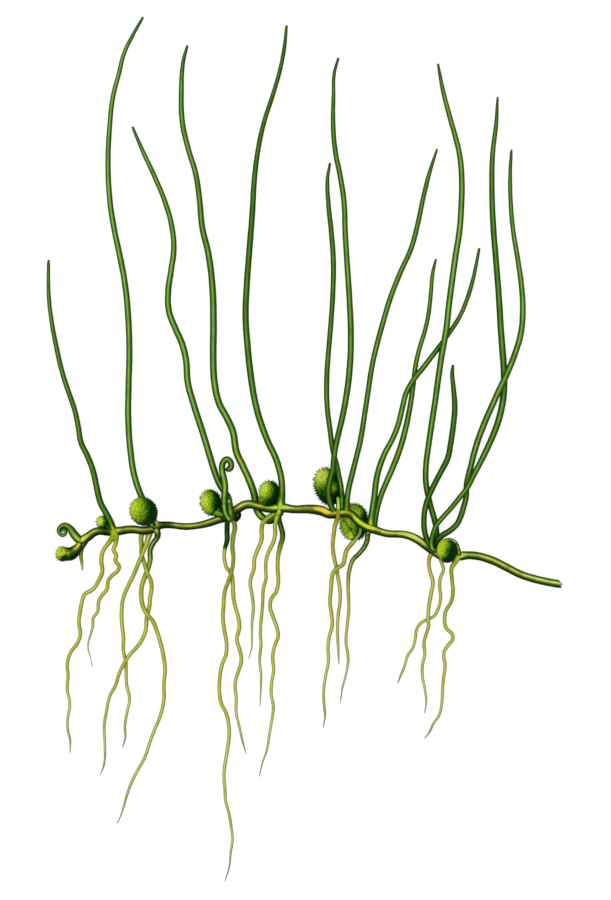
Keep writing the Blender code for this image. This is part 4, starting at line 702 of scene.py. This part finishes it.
# Where a root isn't straw-coloured: the share of its length gone by, what its red, green and blue
# are multiplied by, and how far that shifts its painted highlight and shade
GREEN_ROOTS = {
    1: [(0, (1, 1.2, 0.8)), (0.4, (1, 1.2, 0.9))],
    2: [(0, (0.95, 1.06, 0.35, -0.03)), (0.05, (0.98, 1.04, 0.5, -0.02)), (0.1, CLEAN)],
    3: [(0, (0.95, 1.06, 0.35, -0.03)), (0.07, (0.98, 1.04, 0.5, -0.02)), (0.15, CLEAN)],
    4: [(0, (0.7, 0.95, 0.8)), (0.12, (0.8, 1, 0.8)), (0.2, CLEAN)],
    7: [(0, (0.4, 0.7, 0.6, -0.12)), (0.139, (0.4, 0.7, 0.6, -0.12)), (0.141, (1.05, 1.05, 1.3))],
    8: [(0, (0.75, 0.8, 0.6, -0.05)), (0.15, (0.8, 0.85, 0.7, -0.04)), (0.3, CLEAN)],
    9: [(0, (0.6, 0.9, 0.5)), (0.12, (0.7, 0.9, 0.6)), (0.2, CLEAN)],
    10: [(0, (0.9, 1.2, 0.4)), (0.06, (1, 1.08, 0.7)), (0.12, CLEAN)],
    11: [(0, (0.62, 0.76, 0.5, -0.06)), (0.12, (0.62, 0.74, 0.5, -0.06)), (0.2, CLEAN)],
    12: [(0, (0.75, 0.85, 0.2, -0.15)), (0.04, (0.8, 0.88, 0.25, -0.1)), (0.1, (0.95, 1, 0.6, -0.03)),
         (0.2, CLEAN)],
    13: [(0, (0.5, 0.85, 0.8)), (0.08, (0.5, 0.75, 0.5)), (0.13, (0.9, 0.95, 0.9))],
    14: [(0, (1.25, 1.2, 1, 0.02)), (0.3, CLEAN)],
    15: [(0, (1.05, 1, 1.3)), (0.1, (1.1, 1.05, 1.6)), (0.3, CLEAN)],
    16: [(0, (1, 0.95, 1.2)), (0.1, (1.15, 1.08, 2)), (0.3, CLEAN)],
    17: [(0, (1.05, 1.25, 0.6, 0.06)), (0.03, (1, 1.15, 0.55, 0.04)), (0.1, (0.78, 0.82, 0.45)),
         (0.25, (0.8, 0.85, 0.6)), (0.4, CLEAN)],
}
# The roots whose upper ends are green like a young leaf, and the shares of the length between which
# that fades
YOUNG_ROOTS = {1: (0.3, 1), 6: (0.1, 0.17), 7: (0.138, 0.14), 11: (0.1, 0.17), 14: (0.22, 0.42)}
# A root is paler from where it is old and thin, and its tip is grey
STRAW_SHARE = 0.55
OLD_SHARE = 0.85
OLD_ROOT = (1.04, 1.05, 2.4)
ROOT_TIP = (0.5, 0.58, 2.6)
root_skin = tissue("root_tissue", ROOT_TONES, ROOT_LIGHT, roughness=0.5,
                   grain_size=0.2 * MM, grain_depth=0.01 * MM, mottle=0.2, drift=0.12)
tree = root_skin.node_tree
straw = tree.nodes["tones"]
onward = straw.outputs["Color"].links[0].to_socket
green = ramp_of(tree, YOUNG_ROOT_TONES, straw.inputs["Fac"].links[0].from_socket)
youth = add(tree, "Attribute", attribute_name="youth")
aging = add(tree, "Mix", {"Factor": youth.outputs["Fac"], "A": straw.outputs["Color"],
                          "B": green.outputs["Color"]}, data_type="RGBA")
tree.links.new(aging.outputs["Result"], onward)
for number, points in ROOTS.items():
    route = [(*point, ROOT_LYING)[:3] for point in points]
    taper = ROOT_TAPERS.get(number, ROOT_TAPER)
    taper = [*taper, *(stage for stage in ROOT_TAPER if stage[0] > taper[-1][0])]
    thread = grow(f"root_{number}_thread", tapered(route, *zip(*taper)), sides=12, steps=6)
    roughen(thread, 0.8 * MM, UNEVENNESS)
    smooth(thread)
    stain_and_paint_light(thread, route, ROOT_LIGHT, [*GREEN_ROOTS.get(number, PLAIN), (STRAW_SHARE, CLEAN),
                                      (OLD_SHARE, OLD_ROOT), (1, ROOT_TIP)])
    gone = shares_gone(thread, route)[1]
    young = np.interp(gone, YOUNG_ROOTS[number], (1, 0)) if number in YOUNG_ROOTS else gone * 0
    mark(thread, "youth", young)
    thread.data.materials.append(root_skin)
    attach(thread, "root")
    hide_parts(f"root_{number}")


# The sporocarps, hard round pills that hold the spores, each on a short stalk. Their skin is finely
# pitted and, on all but the last, set with short stiff hairs. Pills and hairs have a painted
# highlight on the side facing a fixed light from the upper left, and painted shade on the far side.
# The pills' colours, from painted shade on the side away from the fixed light to a painted highlight
PILL_TONES = [
    (0, (0.001, 0.026, 0)), (0.25, (0.002, 0.042, 0)), (0.38, (0.018, 0.09, 0)), (0.5, (0.085, 0.2, 0.002)),
    (0.64, (0.19, 0.32, 0.003)), (0.82, (0.34, 0.47, 0.01)), (1, (0.51, 0.64, 0.05)),
]
# The fixed light that the pills' and hairs' painted highlight and shade are worked out from
PILL_LIGHT = (-0.78, 0.3, 0.62)
PROFILE_POINTS = 9
PROFILE_STEPS = 8
PILL_TURNS = 96
PIT_SIZE = 0.21 * MM
SPECKLE = 0.45
# Centre, radius, half of its length, the point that its axis runs to, how egg-shaped, and its hair's
# length times the usual one
PILLS = {
    1: ((-29.02, -12.56, 0.97), 0.89, 0.85, (-27.0, -12.4, 0.8), 0, 0.8),
    2: ((-24.23, -8.77, 0.84), 0.72, 0.79, (-23.3, -9.6, 0.8), 0.05, 0.8),
    3: ((-19.25, -7.46, 2.3), 1.6, 1.8, (-18.0, -9.2, 1.4), 0, 0.6),
    4: ((-11.25, -6.43, 1.4), 1.24, 1.58, (-10.7, -8.6, 1.4), 0.05, 0.9),
    5: ((-4.24, -5.27, 1.32), 1.22, 1.47, (-4.25, -7.0, 1.5), 0.03, 0.9),
    6: ((2.77, -4.5, 1.9), 1.61, 2.32, (3.6, -7.5, 2.6), 0.03, 1.2),
    7: ((5.86, -8.75, 1.84), 1.68, 2.22, (5.79, -11.05, 1.84), 0, 1),
    8: ((16.97, -12.12, 2.1), 1.23, 1.5, (17, -13.62, 2.1), 0, 0),
}
# A painted shadow line down the lower left of the seventh pill, as a row of small darkening spots
PAINTED_SHADOW_LINE = [(4.45 + 1.55 * gone, -8 - 2.4 * gone ** 0.85, 0.28, (0.57, 0.66, 0.57, -0.14))
          for gone in np.linspace(0, 1, 13)]
# Painted light on each pill, with a few stains: painted highlights on its lit side and painted shade on its
# lower or far side, each with its place and reach in mm, what it does to red, green and blue, and how far it
# shifts the painted highlight and shade
PILL_STAINS_AND_PAINTED_LIGHT = {
    1: [(-29.3, -12.3, 1.3, (0.98, 0.9, 0.6, 0.2)), (-28.55, -12.3, 0.9, (1.1, 1, 0.6, 0.5)),
        (-28.7, -13.2, 0.8, (0.4, 0.7, 0.4, -0.4))],
    2: [(-24.4, -8.65, 0.9, (1.15, 1.1, 1, 0.33))],
    3: [(-18.9, -7.7, 1.2, (1, 1, 1, 0.1)), (-19.3, -8.6, 1.2, (1, 1, 1, 0.08))],
    4: [(-11.5, -7.4, 1.2, (1.15, 1, 0.6, 0.22)), (-12, -6.3, 0.9, (1.1, 1.05, 1, 0.2)),
        (-11.6, -5.1, 0.8, (1, 0.95, 1.5, -0.14))],
    5: [(-4.8, -4.6, 0.9, (1.05, 1.02, 1.2, 0.25)), (-4.5, -6.6, 1.4, (0.85, 0.85, 0.8, -0.2))],
    6: [(2.1, -3.0, 1.4, (1.14, 1.1, 1.7, 0.33)), (1.6, -6.1, 3.2, (0.75, 0.9, 0.7, -0.7)),
        (3.6, -4.7, 1.3, (1.1, 1.15, 2.2, 0.48))],
    7: [*PAINTED_SHADOW_LINE, (6.7, -7.4, 1.5, (0.98, 1.12, 1.4, 0.47)), (5.6, -10.6, 1.1, (1.2, 1.1, 1.4, 0.7)),
        (4.5, -9.2, 0.9, (0.72, 0.97, 0.55, -0.04)), (6.1, -9.3, 0.8, (0.9, 0.92, 1, 0.08)),
        (6.9, -10.1, 1, (1, 1.1, 1.5, 0.45))],
    8: [(16.5, -11.9, 1.3, (1, 1, 0.4, 0)), (17, -13.5, 1.2, (0.5, 0.6, 0.4, -0.4)),
        (17.3, -12.2, 1, (0.75, 0.85, 0.7, -0.2))],
}
# The hairs in mm, how far they stray, lean and differ in size and in painted light, and how far up
# the pill towards its stalk they reach
HAIR_LENGTH = 0.3
HAIR_RADIUS = 0.065
HAIR_TIP = 0.5
HAIR_SUNK = 0.25
HAIR_SPACING = 0.4
HAIR_STRAY = 0.25
HAIR_LEAN = 0.2
HAIR_SIZES = (0.7, 1.1)
HAIR_LIGHTS = (0.55, 1.15)
HAIRS_END = 0.92
# The painted light on a hair that is turned away from the fixed light, how much painted shade the
# lower side gets, and how soon the painted light fades to dark towards the pill's outline
HAIR_SHADE = 0.2
LOWER_SIDE = 0.6
OUTLINE = 0.7
# The hairs' colours, from painted shade to painted highlight
HAIR_TONES = [
    (0, (0.003, 0.02, 0.001)), (0.2, (0.01, 0.05, 0.002)), (0.45, (0.1, 0.21, 0.006)),
    (0.62, (0.32, 0.46, 0.03)), (0.85, (0.68, 0.8, 0.15)), (1, (0.8, 0.88, 0.3)),
]
# The stalks, from inside the pill to inside the rhizome, with the colours they are stained along it,
# among them painted shade and painted highlights. Two are broad feet, which have the pill's own skin.
BROAD_FEET = (4, 5)
STALKS = {
    1: ([(-28.8, -12.62, 0.8, 0.76), (-28.44, -12.6, 0.84, 0.81), (-27.96, -12.5, 0.86, 0.8),
         (-27.55, -12.18, 0.87, 0.68), (-27.2, -11.8, 0.84, 0.53), (-26.95, -11.35, 0.8, 0.42)],
        [(0, (0.8, 1.1, 0.3, 0.06)), (0.2, (0.5, 0.85, 0.4, 0.03)), (0.35, (0.22, 0.5, 0.3, -0.01)),
         (0.5, (0.25, 0.55, 0.3, -0.01)), (0.65, (0.7, 0.85, 0.6, 0.04)),
         (0.8, (1.2, 1.05, 0.6, 0.05)), (1, (1.3, 1.1, 0.4, 0.04))]),
    2: ([(-24, -9, 0.85, 0.42), (-23.65, -9.3, 0.9, 0.36), (-23.3, -9.6, 0.95, 0.3)],
        [(0, (0.2, 0.5, 0.4))]),
    3: ([(-18.95, -8.45, 2.1, 0.28), (-18.62, -8.84, 2, 0.29), (-18.3, -9.12, 1.87, 0.27),
         (-17.9, -9.42, 1.5, 0.25)], [(0, (0.8, 0.95, 1.8, 0.02))]),
    4: ([(-11.15, -7, 1.35, 0.98), (-10.7, -7.3, 1.45, 0.82), (-10.25, -7.6, 1.6, 0.58),
         (-9.8, -7.95, 1.75, 0.32)],
        [(0, (0.85, 0.98, 1, -0.08)), (0.35, (0.95, 1.05, 2.2, 0.18)), (1, (0.9, 1.1, 2.4, 0.2))]),
    5: ([(-4.4, -5.75, 1.22, 1.1), (-4.5, -6.25, 1.2, 1.13), (-4.45, -6.7, 1.02, 0.97),
         (-4.35, -7.1, 1.1, 0.6)], [(0, (0.7, 0.82, 1.2, -0.3)), (0.7, (0.7, 0.8, 0.8, -0.36))]),
    6: ([(3.9, -5.92, 2.6, 0.3), (3.94, -6, 3.2, 0.32), (3.98, -6.45, 3.72, 0.31),
         (3.99, -7, 4.05, 0.3), (3.99, -7.6, 4.1, 0.3)],
        [(0, (0.7, 1.2, 0.8)), (0.3, (0.8, 1.3, 0.8, 0.03)), (0.6, (1.15, 1.42, 0.6, 0.06))]),
    8: ([(16.9, -10.82, 2.35, 0.19), (17.43, -10.85, 2.5, 0.22), (17.84, -11.08, 2.5, 0.24),
         (18.14, -11.51, 2.2, 0.25), (18.34, -12.1, 1.6, 0.26), (18.47, -12.65, 0.85, 0.28)],
        [(0, (0.7, 0.9, 1.6)), (0.7, (0.7, 0.9, 1.3)), (1, (0.8, 1.1, 0.9))]),
}


def pill_body(name, radius, half_length, egg):
    """A round pill turned about the axis Z, from the bent profile of its half, narrower at +Z."""
    turns = np.radians(np.linspace(-90, 90, PROFILE_POINTS))
    body = draw(name, [(radius * math.cos(turn) * (1 - egg * math.sin(turn)), 0,
                        half_length * math.sin(turn)) for turn in turns], PROFILE_STEPS)
    start_mesh(body)
    bpy.ops.mesh.spin(steps=PILL_TURNS, angle=math.tau, center=(0, 0, 0), axis=(0, 0, 1))
    close_mesh()
    return body


def add_hairs(name, centre, turned, radius, half_length, egg, length, random):
    """Copies one stiff hair all over the pill, but not where it would reach the ground."""
    deselect()
    bpy.ops.mesh.primitive_cone_add(
        vertices=5, radius1=HAIR_RADIUS * MM, radius2=HAIR_RADIUS * HAIR_TIP * MM, depth=length * MM,
        location=(0, 0, length * HAIR_SUNK * MM))
    bpy.ops.object.transform_apply()
    hair = bpy.context.object
    corners = np.array([corner.co for corner in hair.data.vertices])
    faces = [list(face.vertices) for face in hair.data.polygons]
    count = round(4 * math.pi * radius * (radius + 2 * half_length) / 3 / HAIR_SPACING ** 2)
    places = []
    links = []
    painted_hair_light = []
    for i in range(count):
        # Each hair stands a golden angle further round than the last, which spreads them evenly
        height = 1 - 2 * (i + 0.5) / count
        turn = i * math.pi * (3 - math.sqrt(5)) + random.uniform(-HAIR_STRAY, HAIR_STRAY)
        ring = math.sqrt(1 - height * height)
        wide = radius * (1 - egg * height)
        x, y = ring * math.cos(turn), ring * math.sin(turn)
        spot = turned @ Vector((x * wide, y * wide, height * half_length)) + centre
        out = turned @ Vector((x / wide, y / wide, height / half_length)).normalized()
        lean = Vector(random.uniform(-HAIR_LEAN, HAIR_LEAN, 3))
        size = random.uniform(*HAIR_SIZES)
        if height > HAIRS_END or (spot + out * length).z < HAIR_RADIUS:
            continue
        lift = np.array((out + lean).normalized().to_track_quat("Z", "Y").to_matrix())
        links += [[corner + len(places) for corner in face] for face in faces]
        places += list(corners * size @ lift.T + np.array(spot) * MM)
        # Painted light on each hair: brighter the more it faces the fixed light, darker on the lower side
        # and towards the pill's outline
        lit = max(0, out.dot(Vector(PILL_LIGHT).normalized())) + min(0, out.y) * LOWER_SIDE
        shown = max(0, out.z) ** OUTLINE * (HAIR_SHADE + (1 - HAIR_SHADE) * lit)
        painted_hair_light += [shown * random.uniform(*HAIR_LIGHTS)] * len(corners)
    coat = bpy.data.meshes.new(name)
    coat.from_pydata(places, [], links)
    hairs = bpy.data.objects.new(name, coat)
    mark(hairs, "painted_hair_light", painted_hair_light)
    bpy.context.collection.objects.link(hairs)
    bpy.data.objects.remove(hair)
    return hairs


pill_skin = tissue("sporocarp_skin", PILL_TONES, PILL_LIGHT, roughness=0.5,
                   grain_size=0.16 * MM, grain_depth=0.04 * MM, mottle=0.12, drift=0.12)
tree = pill_skin.node_tree
tones = tree.nodes["tones"]
pits = add(tree, "TexVoronoi", {"Vector": add(tree, "TexCoord").outputs["Object"], "Scale": 1 / PIT_SIZE})
dotting = reckon(tree, "MULTIPLY_ADD", pits.outputs["Distance"], -SPECKLE, SPECKLE / 2)
fill(tones, {"Fac": reckon(tree, "ADD", tones.inputs["Fac"].links[0].from_socket, dotting)})
hair_skin = new_skin("sporocarp_hair")
painted_hair_light = add(hair_skin.node_tree, "Attribute", attribute_name="painted_hair_light")
hair_tones = ramp_of(hair_skin.node_tree, HAIR_TONES, painted_hair_light.outputs["Fac"])
fill(hair_skin.node_tree.nodes["Principled BSDF"], {"Base Color": hair_tones.outputs["Color"]})
random = np.random.default_rng(7)
for number, (centre, radius, half_length, end, egg, hair) in PILLS.items():
    node = f"sporocarp_{number}"
    centre = Vector(centre)
    turned = (Vector(end) - centre).to_track_quat("Z", "Y").to_matrix()
    body = pill_body(node + "_body", radius, half_length, egg)
    body.rotation_euler = turned.to_euler()
    body.location = centre * MM
    bpy.ops.object.transform_apply()
    roughen(body, 0.2 * MM, 0.04 * MM)
    smooth(body, degrees=80)
    stain_and_paint_light(body, [centre, end], None, PLAIN, PILL_STAINS_AND_PAINTED_LIGHT[number])
    body.data.materials.append(pill_skin)
    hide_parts(node)
    pieces = [body]
    if hair:
        length = hair * HAIR_LENGTH
        hairs = add_hairs(node + "_hairs", centre, turned, radius, half_length, egg, length, random)
        hairs.data.materials.append(hair_skin)
        pieces.append(hairs)
    if number in STALKS:
        route, stops = STALKS[number]
        stalk = grow(node + "_stalk", route, sides=20)
        smooth(stalk)
        light, skin = (None, pill_skin) if number in BROAD_FEET else (RHIZOME_LIGHT, stem_skin)
        stain_and_paint_light(stalk, route, light, stops)
        stalk.data.materials.append(skin)
        pieces.append(stalk)
    for piece in pieces:
        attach(piece, "root")


# The surface that the plant lies on, plain and white, under an even white sky and one large soft
# lamp on the left. None of it is part of the plant.
WHITE = (1, 1, 1, 1)
# The floor's size, how far it is below the plant and the lamp's place, in metres
FLOOR_SIZE = 3
FLOOR_DROP = 0.02 * MM
LAMP_PLACE = (-0.5, 0.2, 0.6)
deselect()
bpy.ops.mesh.primitive_plane_add(size=FLOOR_SIZE, location=(0, 0, -FLOOR_DROP))
floor = bpy.context.object
floor.name = "floor"
paper = bpy.data.materials.new("white_paper")
paper.use_nodes = True
fill(paper.node_tree.nodes["Principled BSDF"], {
    "Base Color": (0.25, 0.25, 0.25, 1), "Roughness": 0.9, "Specular IOR Level": 0,
    "Emission Color": WHITE, "Emission Strength": 0.86})
floor.data.materials.append(paper)
sky = bpy.data.worlds.new("white_sky")
bpy.context.scene.world = sky
sky.use_nodes = True
fill(sky.node_tree.nodes["Background"], {"Color": WHITE, "Strength": 0.95})
bpy.ops.object.light_add(type="AREA", location=LAMP_PLACE)
lamp = bpy.context.object
lamp.data.shape = "DISK"
lamp.data.size = 0.5
lamp.data.energy = 0.6
lamp.rotation_euler = (-lamp.location).to_track_quat("-Z", "Y").to_euler()
bpy.context.scene.view_settings.view_transform = "Standard"

# The camera, straight above the plant with a long lens. A picture of 611 x 900 pixels shows 108 mm
# of the surface from top to bottom.
bpy.ops.object.camera_add(location=(0.06 * MM, -0.12 * MM, 405 * MM))
camera = bpy.context.object
camera.data.sensor_fit = "VERTICAL"
camera.data.sensor_height = 36
camera.data.lens = 135
camera.data.clip_start = 0.01
camera.data.clip_end = 10
bpy.context.scene.camera = camera
